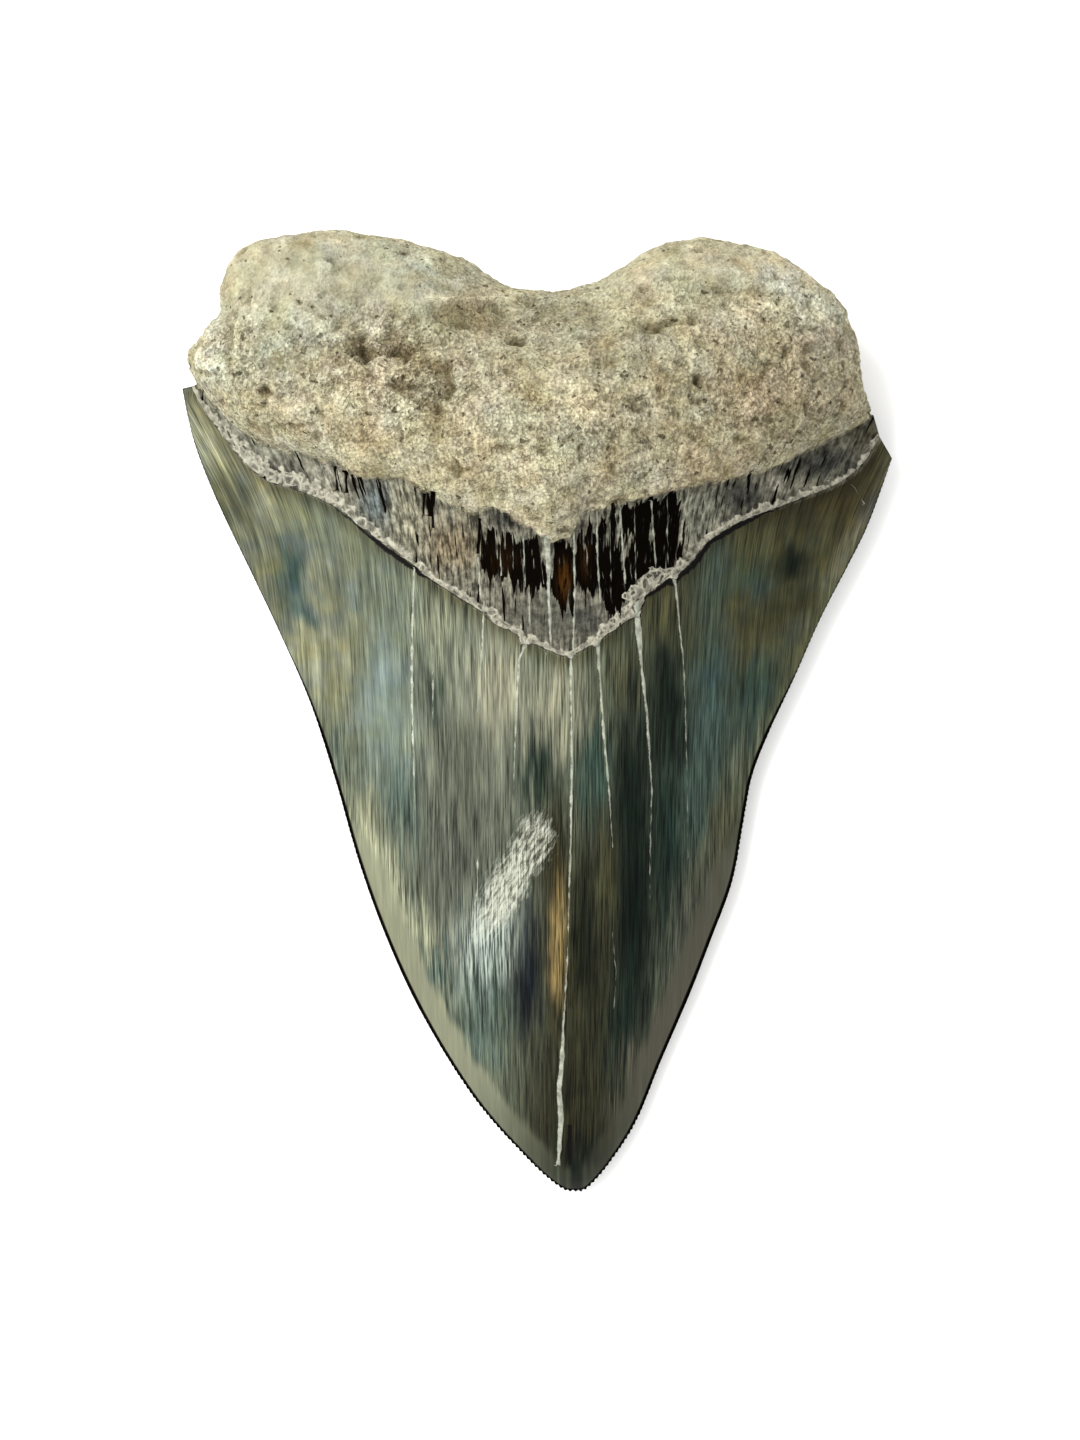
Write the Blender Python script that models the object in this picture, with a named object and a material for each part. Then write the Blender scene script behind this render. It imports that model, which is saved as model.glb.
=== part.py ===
"""A fossil shark tooth, lying on its flat outer face with the domed inner face up.

The tooth grew as one piece, so it is one solid. Its outline and the lines between crown,
neck and root are smooth curves through a few measured points. Two grids, one for each face,
are drawn over those curves, raised to the height of the tooth and welded along the rim.

The tip points to -Y, the two root lobes to +Y, and +Z is up from the surface it rests on.
"""

import math

import bmesh
import bpy
from mathutils import Vector, noise
from mathutils.geometry import interpolate_bezier

MM = 0.001

# Grid: columns on each half, and rows in each band from the tip to the root lobes
HALF_COLUMNS = 25
CROWN_ROWS = 18
LIP_ROWS = 1
NECK_ROWS = 4
ROOT_ROWS = 25
BAND_ROWS = (CROWN_ROWS, LIP_ROWS, NECK_ROWS, ROOT_ROWS)
CROWN, LIP, NECK, ROOT = range(4)

# Share of each cutting edge, from the tip, that the first row of the grid wraps round
TIP_WRAP = 0.28
# How strongly the columns crowd towards the rim, and the root rows towards both its edges
RIM_CROWDING = 0.6
ROOT_CROWDING = 0.5

# Middle line of the tooth, as (Y, X) in mm
MIDDLE_LINE = ((-61.4, 4.7), (6.6, 3.0), (19.9, 1.6), (60.0, 1.0))
TIP_Y = -61.4

# Cutting edges in mm, from the left shoulder round the tip to the right shoulder
CUTTING_EDGES = (
    (-45.1, 40.9), (-43.7, 34.4), (-41.0, 27.3), (-36.7, 18.2), (-33.1, 10.6), (-29.1, 1.4),
    (-25.8, -8.8), (-22.9, -19.0), (-19.2, -29.2), (-14.4, -39.4), (-8.0, -49.7), (-1.2, -57.4),
    (2.8, -60.9), (4.7, -61.4), (6.5, -60.9), (9.5, -57.4), (12.7, -52.3), (15.8, -44.6),
    (19.1, -36.9), (22.1, -29.2), (24.9, -21.5), (26.3, -13.9), (27.4, -8.1), (29.6, -2.4),
    (32.8, 4.5), (35.9, 11.6), (39.3, 18.2), (41.7, 23.0), (43.6, 28.0), (45.0, 32.1),
)

# Upper edge of the enamel on the inner face in mm, from its lowest point to each shoulder
ENAMEL_LINE_LEFT = (
    (3.0, 6.6), (-0.3, 8.0), (-3.3, 9.8), (-7.0, 12.1), (-13.2, 16.1), (-17.0, 19.1),
    (-20.8, 21.8), (-25.2, 25.3), (-29.7, 27.4), (-34.2, 29.0), (-37.5, 31.9), (-40.8, 36.1),
    (-42.7, 38.9), (-43.9, 41.2),
)
ENAMEL_LINE_RIGHT = (
    (3.0, 6.6), (5.2, 7.1), (7.6, 8.6), (10.1, 10.4), (12.5, 13.3), (15.6, 15.7), (18.8, 17.9),
    (20.7, 20.4), (23.8, 22.6), (27.7, 24.4), (32.8, 26.4), (38.0, 28.7), (41.3, 31.4), (43.4, 34.8),
)

# Lower edge of the root over the dark neck in mm, from the middle to each side
ROOT_LINE_LEFT = (
    (1.3, 19.9), (-0.9, 21.7), (-4.5, 24.2), (-8.2, 23.7), (-13.1, 26.2), (-16.8, 28.2),
    (-21.8, 28.6), (-25.6, 30.7), (-31.4, 32.4), (-37.2, 35.1), (-40.9, 38.9), (-43.3, 41.4),
)
ROOT_LINE_RIGHT = (
    (1.3, 19.9), (3.9, 21.1), (5.7, 23.6), (8.8, 24.5), (12.4, 25.5), (16.8, 26.9), (22.4, 28.0),
    (27.5, 29.5), (32.6, 31.8), (37.8, 34.5), (41.0, 36.3), (42.6, 37.6),
)

# Outer sides of the root in mm, from the root line up to the corner of each lobe
ROOT_SIDE_LEFT = (
    (-43.3, 41.4), (-43.6, 44.5), (-41.4, 47.7), (-39.8, 49.1), (-39.5, 52.4), (-39.1, 54.4),
    (-38.2, 56.2),
)
ROOT_SIDE_RIGHT = (
    (42.6, 37.6), (41.3, 39.2), (40.4, 41.6), (40.1, 44.9), (39.2, 47.9), (38.1, 50.4), (36.3, 52.2),
    (34.1, 53.7), (32.8, 54.9),
)

# Top edge of the root in mm, from the notch over each lobe to its outer corner
BASAL_EDGE_LEFT = (
    (1.0, 52.4), (-0.9, 52.5), (-4.1, 53.1), (-6.6, 54.7), (-9.7, 56.6), (-13.4, 57.7), (-17.2, 58.9),
    (-21.6, 59.4), (-24.7, 60.0), (-29.1, 59.5), (-33.4, 59.0), (-36.3, 58.0), (-38.2, 56.2),
)
BASAL_EDGE_RIGHT = (
    (1.0, 52.4), (2.8, 52.4), (5.9, 53.0), (8.4, 54.0), (11.6, 56.1), (14.7, 57.9), (17.8, 58.7),
    (20.9, 59.0), (24.1, 58.5), (27.8, 57.7), (30.9, 56.6), (32.8, 54.9),
)

# Width of the enamel lip below the enamel line, and how far it stands over the neck
LIP_WIDTH = 1.2
LIP_STEP = 0.4
# How far the root's lower edge stands over the neck
ROOT_STEP = 0.6
# Steps and forms die out towards the rim, as these powers of the share across
LIP_END_POWER = 6
STEP_END_POWER = 8
FORM_END_POWER = 4

# Height of the ridge of the crown over the table in mm, by place along Y
RIDGE = ((-61.4, 1.9), (-59.5, 4.0), (-56.0, 5.6), (-45.0, 8.8), (-25.0, 12.4), (-5.0, 15.4),
         (7.0, 17.3), (20.0, 20.2), (35.0, 22.5), (60.0, 23.0))
# Height of the cutting edges over the table in mm, by place along Y
EDGE = ((-61.4, 1.9), (-50.0, 2.0), (-20.0, 2.8), (20.0, 3.8), (41.4, 4.4), (60.0, 4.8))
# Fall of the crown from ridge to cutting edge: fuller near the tip, hollower at the shoulders
SECTION_POWER = ((-61.4, 0.8), (-50.0, 1.0), (-20.0, 1.2), (10.0, 1.45), (30.0, 1.6), (60.0, 1.6))

# Root: height of its wall's middle and rise of its body over that, in mm
ROOT_WALL = 9.5
ROOT_RISE = 9.8
# Share of the root that its lower edge takes to rise, and how round that edge and the wall are
ROOT_EDGE_WIDTH = 0.26
ROOT_EDGE_ROUND = 0.7
WALL_POWER = 3.2
WALL_ROUND = 0.52
# Swelling at the middle of the root: place across and along it, its spread, and its height
BOSS_ACROSS = 0.42
BOSS_PLACE = 0.36
BOSS_ALONG = 0.42
BOSS_HEIGHT = 6.6

# Outer face, in mm: depth of the flat rest cut from its curve, lift of the tip and its reach
FLAT_DEPTH = 0.25
TIP_LIFT = 1.1
TIP_LIFT_REACH = 60.0
# Share of the root over which its outer face leaves the curve of the crown's
UNDER_BLEND = 0.4
UNDER_POWER = 2.4
UNDER_WALL_POWER = 2.6
UNDER_ROUND = 0.55

# Forms on the root in mm: place, reach across and along, and height
ROOT_FORMS = {
    "knob on the left lobe": (-27.0, 55.0, 2.6, 2.2, 1.0),
    "crest of the left lobe": (-30.0, 47.0, 5.0, 4.0, 0.9),
    "hollow under the left lobe": (-16.5, 45.5, 4.2, 2.6, -1.5),
    "hollow towards the neck": (-12.5, 39.5, 2.6, 5.0, -1.5),
    "swelling between the hollows": (-20.5, 38.5, 4.0, 3.5, 0.9),
    "patch scooped beside the notch": (-6.5, 50.0, 5.0, 1.8, -0.9),
    "saddle behind the notch": (6.0, 48.5, 5.0, 2.6, -1.0),
    "ridge along the right lobe": (21.0, 53.5, 9.0, 1.6, 1.2),
    "groove below that ridge": (19.0, 50.0, 8.0, 1.6, -0.9),
    "swelling of the right lobe": (30.0, 46.0, 6.0, 6.0, 0.9),
    "dip at the right edge": (36.5, 41.5, 2.6, 3.5, -0.8),
    "shelf at the left edge": (-41.0, 45.0, 2.8, 4.0, -1.6),
}
# Uneven surface of the root in mm: size and height of its lumps and of the smaller bumps on them
LUMP_SIZE = 8.0
LUMP_HEIGHT = 0.55
BUMP_SIZE = 3.2
BUMP_HEIGHT = 0.28
BUMP_SHIFT = Vector((7.0, 3.0, 1.0))

# Points closer than this are one, in mm
WELD = 0.01
# Steps of a curve between two knots, and of the outline read along one cutting edge or root side
PATH_STEPS = 10
EDGE_STEPS = 80
SIDE_STEPS = 20

# Finish of each stretch: name, colour, roughness
FINISHES = (
    ("enamel", (0.13, 0.14, 0.10), 0.28),
    ("neck", (0.05, 0.045, 0.035), 0.45),
    ("root_stone", (0.56, 0.48, 0.35), 0.95),
)
ENAMEL_FINISH, NECK_FINISH, ROOT_FINISH = range(3)
INNER_FINISH = {CROWN: ENAMEL_FINISH, LIP: ENAMEL_FINISH, NECK: NECK_FINISH, ROOT: ROOT_FINISH}
OUTER_FINISH = {CROWN: ENAMEL_FINISH, LIP: ENAMEL_FINISH, NECK: ENAMEL_FINISH, ROOT: ROOT_FINISH}


class Path:
    """A smooth curve through knots, read by the share of its length."""

    def __init__(self, knots):
        knots = [Vector(knot).to_3d() for knot in knots]
        ends = [knots[0]] + knots + [knots[-1]]
        self.points = [knots[0]]
        for before, start, end, after in zip(ends, ends[1:], ends[2:], ends[3:]):
            leave = start + (end - before) / 6
            arrive = end - (after - start) / 6
            self.points += interpolate_bezier(start, leave, arrive, end, PATH_STEPS)[1:]
        self.reach = [0.0]
        for start, end in zip(self.points, self.points[1:]):
            self.reach.append(self.reach[-1] + (end - start).length)

    def at(self, share):
        """The point at this share of the length."""
        goal = share * self.reach[-1]
        for index in range(1, len(self.reach)):
            if self.reach[index] >= goal:
                break
        start, end = self.reach[index - 1], self.reach[index]
        return self.points[index - 1].lerp(self.points[index], (goal - start) / (end - start))

    def lowest_share(self):
        """Share of the length at the point with the smallest Y."""
        lowest = min(range(len(self.points)), key=lambda index: self.points[index].y)
        return self.reach[lowest] / self.reach[-1]


def level(steps, place):
    """Value at a place, on a smooth curve through a list of (place, value)."""
    if place <= steps[0][0]:
        return steps[0][1]
    if place >= steps[-1][0]:
        return steps[-1][1]
    index = next(index for index, step in enumerate(steps) if step[0] >= place) - 1
    (start, low), (end, high) = steps[index], steps[index + 1]
    share = (place - start) / (end - start)
    leave = slope(steps, index) * (end - start)
    arrive = slope(steps, index + 1) * (end - start)
    rise = ease(share)
    bend = share * (1 - share)
    return mix(low, high, rise) + bend * ((1 - share) * leave - share * arrive)


def slope(steps, index):
    """Slope of a list of (place, value) at one of its steps."""
    before = steps[max(index - 1, 0)]
    after = steps[min(index + 1, len(steps) - 1)]
    return (after[1] - before[1]) / (after[0] - before[0])


def ease(share):
    """A smooth rise from 0 to 1."""
    share = min(max(share, 0.0), 1.0)
    return share * share * (3 - 2 * share)


def mix(low, high, share):
    return low + (high - low) * share


CUTTING = Path(CUTTING_EDGES)
TIP_SHARE = CUTTING.lowest_share()
ENAMEL_LINE = {-1: Path(ENAMEL_LINE_LEFT), 1: Path(ENAMEL_LINE_RIGHT)}
ROOT_LINE = {-1: Path(ROOT_LINE_LEFT), 1: Path(ROOT_LINE_RIGHT)}
ROOT_SIDE = {-1: Path(ROOT_SIDE_LEFT), 1: Path(ROOT_SIDE_RIGHT)}
BASAL_EDGE = {-1: Path(BASAL_EDGE_LEFT), 1: Path(BASAL_EDGE_RIGHT)}


def cutting_edge(side, share):
    """Point on one cutting edge, from the tip at 0 to its shoulder at 1."""
    if side < 0:
        return CUTTING.at(TIP_SHARE * (1 - share))
    return CUTTING.at(TIP_SHARE + (1 - TIP_SHARE) * share)


def lip_line(side, across):
    """Lower edge of the enamel lip, which ends at the shoulder."""
    point = ENAMEL_LINE[side].at(across)
    to_shoulder = cutting_edge(side, 1.0) - ENAMEL_LINE[side].at(1.0)
    end_weight = across ** LIP_END_POWER
    return point + to_shoulder * end_weight - Vector((0, LIP_WIDTH * (1 - end_weight), 0))


def patch(across, along, near, far, middle, rim):
    """Point of a four-sided patch between its near and far rows, its middle line and its rim."""
    rows = near(across).lerp(far(across), along)
    sides = middle(along).lerp(rim(along), across)
    ends = near(0).lerp(near(1), across).lerp(far(0).lerp(far(1), across), along)
    return rows + sides - ends


def crown_point(side, across, along):
    tip, top = cutting_edge(side, 0.0), lip_line(side, 0.0)
    return patch(
        across,
        along,
        lambda share: cutting_edge(side, TIP_WRAP * share),
        lambda share: lip_line(side, share),
        lambda share: tip.lerp(top, share),
        lambda share: cutting_edge(side, TIP_WRAP + (1 - TIP_WRAP) * share),
    )


def root_point(side, across, along):
    low, high = ROOT_LINE[side].at(0.0), BASAL_EDGE[side].at(0.0)
    return patch(
        across,
        along,
        ROOT_LINE[side].at,
        BASAL_EDGE[side].at,
        lambda share: low.lerp(high, share),
        ROOT_SIDE[side].at,
    )


def place(side, across, band, along):
    """Plan position in mm of a grid point: share across its half, band, and share along the band."""
    if band == CROWN:
        return crown_point(side, across, along)
    if band == LIP:
        return lip_line(side, across).lerp(ENAMEL_LINE[side].at(across), along)
    if band == NECK:
        return ENAMEL_LINE[side].at(across).lerp(ROOT_LINE[side].at(across), along)
    return root_point(side, across, along)


def outline_of(side):
    """(Y, X) of the outline on one side, from the tip to the top of the root."""
    cutting = [cutting_edge(side, step / EDGE_STEPS) for step in range(EDGE_STEPS + 1)]
    above = [ROOT_SIDE[side].at(step / SIDE_STEPS) for step in range(SIDE_STEPS + 1)]
    pairs = []
    for point in cutting + above:
        if not pairs or point.y > pairs[-1][0]:
            pairs.append((point.y, point.x))
    return pairs


OUTLINE = {side: outline_of(side) for side in (-1, 1)}


def offset_share(side, point):
    """How far a point lies from the tooth's middle line towards the outline, 0 to 1."""
    middle = level(MIDDLE_LINE, point.y)
    width = abs(level(OUTLINE[side], point.y) - middle)
    if width < WELD:
        return 1.0
    return min(abs(point.x - middle) / width, 1.0)


def crown_top(side, point):
    """Height of the crown's inner face, which runs on under the root."""
    offset = offset_share(side, point)
    edge = level(EDGE, point.y)
    fall = (1 - offset * offset) ** level(SECTION_POWER, point.y)
    return edge + (level(RIDGE, point.y) - edge) * fall


def crown_under(side, point):
    """Height of the crown's outer face over its flat rest."""
    outward = offset_share(side, point) ** UNDER_POWER
    bow = (level(EDGE, point.y) + FLAT_DEPTH) * outward - FLAT_DEPTH
    lift = TIP_LIFT * (1 - ease((point.y - TIP_Y) / TIP_LIFT_REACH))
    return bow + lift * (1 - outward)


def root_edge(along):
    """Rise of the root from its lower edge, from 0 to 1."""
    inward = 1 - min(along / ROOT_EDGE_WIDTH, 1.0)
    return (1 - inward * inward) ** ROOT_EDGE_ROUND


def root_rim(along, point):
    """Height of the rim of the root's wall."""
    return mix(level(EDGE, point.y), ROOT_WALL, root_edge(along))


def root_forms(point):
    """Sum of the lumps and hollows of the root, in mm."""
    total = 0.0
    for x, y, across, along, height in ROOT_FORMS.values():
        distance = ((point.x - x) / across) ** 2 + ((point.y - y) / along) ** 2
        total += height * math.exp(-distance)
    total += LUMP_HEIGHT * noise.noise(point / LUMP_SIZE)
    return total + BUMP_HEIGHT * noise.noise(point / BUMP_SIZE + BUMP_SHIFT)


def wall_fall(across, along, power, roundness):
    """Fall towards the rim and the top edge of the root, 1 in its middle and 0 at its rim."""
    return ((1 - across ** power) * (1 - along ** power)) ** roundness


def root_top(side, across, along, point):
    """Height of the root's inner face, with its swelling in the middle."""
    boss = math.exp(-((across / BOSS_ACROSS) ** 2) - ((along - BOSS_PLACE) / BOSS_ALONG) ** 2)
    rise = (ROOT_RISE + BOSS_HEIGHT * boss) * wall_fall(across, along, WALL_POWER, WALL_ROUND)
    inner = 1 - max(across, along) ** FORM_END_POWER
    body = ROOT_WALL + rise + root_forms(point) * inner
    start = crown_top(side, point) + ROOT_STEP * (1 - across ** STEP_END_POWER)
    return mix(start, body, root_edge(along))


def root_under(side, across, along, point):
    """Height of the root's outer face over its flat rest."""
    rim = root_rim(along, point)
    fall = wall_fall(across, along, UNDER_WALL_POWER, UNDER_ROUND)
    body = (rim + FLAT_DEPTH) * (1 - fall) - FLAT_DEPTH
    return mix(crown_under(side, point), body, ease(along / UNDER_BLEND))


def inner_height(side, across, band, along, point):
    """Height of the inner face, which looks up."""
    if band == ROOT:
        return root_top(side, across, along, point)
    height = crown_top(side, point)
    if band == NECK:
        height -= LIP_STEP * (1 - along) * (1 - across ** STEP_END_POWER)
    return height


def outer_height(side, across, band, along, point):
    """Height of the outer face, which looks down."""
    if band == ROOT:
        return max(root_under(side, across, along, point), 0.0)
    return max(crown_under(side, point), 0.0)


def band_of(row):
    """Band that a row of the grid is in, and the share of the band below that row."""
    for band, rows in enumerate(BAND_ROWS):
        if row <= rows:
            return band, row / rows
        row -= rows


def grid_point(column, row, height):
    """Point in mm of the tooth's surface for a column and a row of the grid."""
    side = -1 if column < 0 else 1
    step = abs(column) / HALF_COLUMNS
    across = mix(step, math.sin(step * math.pi / 2), RIM_CROWDING)
    band, along = band_of(row)
    if band == ROOT:
        along = mix(along, ease(along), ROOT_CROWDING)
    point = place(side, across, band, along)
    if abs(column) < HALF_COLUMNS and 0 < row < sum(BAND_ROWS):
        point.z = height(side, across, band, along, point)
    elif band == ROOT:
        point.z = root_rim(along, point)
    else:
        point.z = level(EDGE, point.y)
    return point


def raised_grid(bm, height, finish):
    """One face of the tooth: a flat grid whose points are moved over its plan and raised."""
    rows = sum(BAND_ROWS)
    made = bmesh.ops.create_grid(bm, x_segments=2 * HALF_COLUMNS, y_segments=rows, size=1.0)
    faces = {face for vert in made["verts"] for face in vert.link_faces}
    for face in faces:
        row = (face.calc_center_median().y + 1) / 2 * rows
        face.material_index = finish[band_of(row)[0]]
        face.smooth = True
    for vert in made["verts"]:
        column = round(vert.co.x * HALF_COLUMNS)
        row = round((vert.co.y + 1) / 2 * rows)
        vert.co = grid_point(column, row, height) * MM
    return list(faces)


def stand_on_origin(bm):
    """Moves the middle of the tooth's box over the origin, with its rest at Z = 0."""
    spans = [(min(values), max(values)) for values in zip(*(vert.co for vert in bm.verts))]
    middle = Vector((sum(spans[0]) / 2, sum(spans[1]) / 2, spans[2][0]))
    bmesh.ops.translate(bm, verts=bm.verts, vec=-middle)


def finish_material(name, colour, roughness):
    material = bpy.data.materials.new(name)
    material.use_nodes = True
    shader = material.node_tree.nodes["Principled BSDF"]
    shader.inputs["Base Color"].default_value = (*colour, 1.0)
    shader.inputs["Roughness"].default_value = roughness
    shader.inputs["Metallic"].default_value = 0.0
    return material


def tooth(collection):
    bm = bmesh.new()
    raised_grid(bm, inner_height, INNER_FINISH)
    under = raised_grid(bm, outer_height, OUTER_FINISH)
    bmesh.ops.reverse_faces(bm, faces=under)
    bmesh.ops.remove_doubles(bm, verts=bm.verts, dist=WELD * MM)
    stand_on_origin(bm)
    mesh = bpy.data.meshes.new("tooth")
    bm.to_mesh(mesh)
    bm.free()
    for finish in FINISHES:
        mesh.materials.append(finish_material(*finish))
    collection.objects.link(bpy.data.objects.new("tooth", mesh))


def main():
    for old in list(bpy.data.objects):
        bpy.data.objects.remove(old)
    collection = bpy.data.collections.new("shark_tooth")
    bpy.context.scene.collection.children.link(collection)
    tooth(collection)


main()
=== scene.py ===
"""A fossil shark tooth lying on a pale sheet, seen from straight above.

The tooth's finished surface replaces the plain solid of the frame. Two grids, one for the domed
inner face and one for the flat outer face, are drawn over the same lines as the solid and welded
along the rim. Their points are then worked: saw teeth on the cutting edges, grain and pits on the
root, a crust and dark plates on the neck, waves and a scrape on the enamel. The same points carry
the stains, and the material adds stone grain, fine lines and pale cracks. Lengths are in
millimetres until the mesh is written; those of the material and the light are in metres.
"""

from copy import copy

import bpy
import numpy as np
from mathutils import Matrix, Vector, noise
from mathutils.kdtree import KDTree
from mathutils.geometry import interpolate_bezier


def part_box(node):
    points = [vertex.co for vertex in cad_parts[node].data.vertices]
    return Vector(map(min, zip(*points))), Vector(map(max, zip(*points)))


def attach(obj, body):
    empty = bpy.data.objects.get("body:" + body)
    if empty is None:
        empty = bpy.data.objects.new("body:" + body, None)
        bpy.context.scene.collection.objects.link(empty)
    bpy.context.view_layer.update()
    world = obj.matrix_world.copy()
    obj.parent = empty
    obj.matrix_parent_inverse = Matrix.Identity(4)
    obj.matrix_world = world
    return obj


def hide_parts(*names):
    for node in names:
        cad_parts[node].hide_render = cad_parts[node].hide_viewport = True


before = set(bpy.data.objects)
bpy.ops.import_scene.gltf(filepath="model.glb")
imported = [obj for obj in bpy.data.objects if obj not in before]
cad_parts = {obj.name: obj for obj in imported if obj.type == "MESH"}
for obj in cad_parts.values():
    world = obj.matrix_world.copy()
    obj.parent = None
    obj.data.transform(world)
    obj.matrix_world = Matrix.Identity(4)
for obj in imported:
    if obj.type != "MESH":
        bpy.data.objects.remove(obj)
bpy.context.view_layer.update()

MM = 0.001

# View from straight above, as the photograph has it: its frame in pixels, its scale at the height
# of the cutting edges, and the camera's height and place over the table in mm
FRAME_WIDTH, FRAME_HEIGHT = 1080, 1440
MM_PER_PIXEL = 0.127
CAMERA_HEIGHT = 320.0
SCALE_HEIGHT = 4.0
CAMERA_PLACE = (0.35, -0.42)
SENSOR = 36.0

# Grid of the inner face; the outer face has half as many columns and rows
HALF_COLUMNS = 110
CROWN_ROWS = 176
LIP_ROWS = 4
NECK_ROWS = 42
ROOT_ROWS = 114
BAND_ROWS = (CROWN_ROWS, LIP_ROWS, NECK_ROWS, ROOT_ROWS)
ALL_ROWS = sum(BAND_ROWS)
CROWN, LIP, NECK, ROOT = range(4)
# Share of each cutting edge, from the tip, that the first row of the grid wraps round
TIP_WRAP = 0.28
# How strongly the columns crowd towards the rim, at the tip and on the root
RIM_CROWDING = (0.2, 0.7)
CROWDING_ROWS = (80, 280)
ROOT_CROWDING = 0.4

# Middle line of the tooth, as (Y, X) in mm
MIDDLE_LINE = ((-61.4, 4.7), (6.6, 3.0), (19.9, 1.6), (60.0, 1.0))
TIP_Y = -61.4

# Cutting edges in mm, from the left shoulder round the tip to the right shoulder
CUTTING_EDGES = (
    (-45.1, 40.9), (-43.7, 34.4), (-41.0, 27.3), (-36.7, 18.2), (-33.1, 10.6), (-29.1, 1.4),
    (-25.8, -8.8), (-22.9, -19.0), (-19.2, -29.2), (-14.4, -39.4), (-8.0, -49.7), (-1.2, -57.4),
    (2.8, -60.9), (4.7, -61.4), (6.5, -60.9), (9.5, -57.4), (12.7, -52.3), (15.8, -44.6),
    (19.1, -36.9), (22.1, -29.2), (24.9, -21.5), (26.3, -13.9), (27.4, -8.1), (29.6, -2.4),
    (32.8, 4.5), (35.9, 11.6), (39.3, 18.2), (41.7, 23.0), (43.6, 28.0), (45.0, 32.1),
)

# Upper edge of the enamel on the inner face in mm, from its lowest point to each shoulder
ENAMEL_LINE_LEFT = (
    (3.0, 6.6), (-0.3, 8.0), (-3.3, 9.8), (-7.0, 12.1), (-13.2, 16.1), (-17.0, 19.1),
    (-20.8, 21.8), (-25.2, 25.3), (-29.7, 27.4), (-34.2, 29.0), (-37.5, 31.9), (-40.8, 36.1),
    (-42.7, 38.9), (-43.9, 41.2),
)
ENAMEL_LINE_RIGHT = (
    (3.0, 6.6), (5.2, 7.1), (7.6, 8.6), (10.1, 10.4), (12.5, 13.3), (15.6, 15.7), (18.8, 17.9),
    (20.7, 20.4), (23.8, 22.6), (27.7, 24.4), (32.8, 26.4), (38.0, 28.7), (41.3, 31.4),
    (43.4, 34.8),
)

# Lower edge of the root over the dark neck in mm, from the middle to each side
ROOT_LINE_LEFT = (
    (1.3, 19.9), (-0.9, 21.7), (-4.5, 24.2), (-8.2, 23.7), (-13.1, 26.2), (-16.8, 28.2),
    (-21.8, 28.6), (-25.6, 30.7), (-31.4, 32.4), (-37.2, 35.1), (-40.9, 38.9), (-43.3, 41.4),
)
ROOT_LINE_RIGHT = (
    (1.3, 19.9), (3.9, 21.1), (5.7, 23.6), (8.8, 24.5), (12.4, 25.5), (16.8, 26.9), (22.4, 28.0),
    (27.5, 29.5), (32.6, 31.8), (37.8, 34.5), (41.0, 36.3), (42.6, 37.6),
)

# Outer sides of the root in mm, from the root line up to the corner of each lobe
ROOT_SIDE_LEFT = (
    (-43.3, 41.4), (-43.6, 44.5), (-41.4, 47.7), (-39.8, 49.1), (-39.5, 52.4), (-39.1, 54.4),
    (-38.2, 56.2),
)
ROOT_SIDE_RIGHT = (
    (42.6, 37.6), (41.3, 39.2), (40.4, 41.6), (40.1, 44.9), (39.2, 47.9), (38.1, 50.4),
    (36.3, 52.2), (34.1, 53.7), (32.8, 54.9),
)

# Top edge of the root in mm, from the notch over each lobe to its outer corner
BASAL_EDGE_LEFT = (
    (1.0, 52.4), (-0.9, 52.5), (-4.1, 53.1), (-6.6, 54.7), (-9.7, 56.6), (-13.4, 57.7),
    (-17.2, 58.9), (-21.6, 59.4), (-24.7, 60.0), (-29.1, 59.5), (-33.4, 59.0), (-36.3, 58.0),
    (-38.2, 56.2),
)
BASAL_EDGE_RIGHT = (
    (1.0, 52.4), (2.8, 52.4), (5.9, 53.0), (8.4, 54.0), (11.6, 56.1), (14.7, 57.9), (17.8, 58.7),
    (20.9, 59.0), (24.1, 58.5), (27.8, 57.7), (30.9, 56.6), (32.8, 54.9),
)

# Width of the enamel lip below the enamel line, and how far it stands over the neck
LIP_WIDTH = 1.2
LIP_STEP = 0.4
# How far the root's lower edge stands over the neck
ROOT_STEP = 0.6
# Steps and forms die out towards the rim, as these powers of the share across
LIP_END_POWER = 6
STEP_END_POWER = 8
FORM_END_POWER = 4

# Height of the ridge of the crown over the table in mm, by place along Y
RIDGE = ((-61.4, 1.9), (-59.5, 4.0), (-56.0, 5.6), (-45.0, 8.8), (-25.0, 12.4), (-5.0, 15.4),
         (7.0, 17.3), (20.0, 20.2), (35.0, 22.5), (60.0, 23.0))
# Height of the cutting edges over the table in mm, by place along Y
EDGE = ((-61.4, 1.9), (-50.0, 2.0), (-20.0, 2.8), (20.0, 3.8), (41.4, 4.4), (60.0, 4.8))
# Fall of the crown from ridge to cutting edge: fuller near the tip, hollower at the shoulders
SECTION_POWER = ((-61.4, 0.8), (-50.0, 1.0), (-20.0, 1.2), (10.0, 1.45), (30.0, 1.6), (60.0, 1.6))

# Root: height of its wall's middle and rise of its body over that, in mm
ROOT_WALL = 9.5
ROOT_RISE = 9.8
# Share of the root that its lower edge takes to rise, and how round that edge and the wall are
ROOT_EDGE_WIDTH = 0.26
ROOT_EDGE_ROUND = 0.7
WALL_POWER = 3.2
WALL_ROUND = 0.52
# Swelling at the middle of the root: place across and along it, its spread, and its height
BOSS_ACROSS = 0.42
BOSS_PLACE = 0.36
BOSS_ALONG = 0.42
BOSS_HEIGHT = 6.6

# Outer face, in mm: depth of the flat rest cut from its curve, lift of the tip and its reach
FLAT_DEPTH = 0.25
TIP_LIFT = 1.1
TIP_LIFT_REACH = 60.0
# Share of the root over which its outer face leaves the curve of the crown's
UNDER_BLEND = 0.4
UNDER_POWER = 2.4
UNDER_WALL_POWER = 2.6
UNDER_ROUND = 0.55

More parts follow.
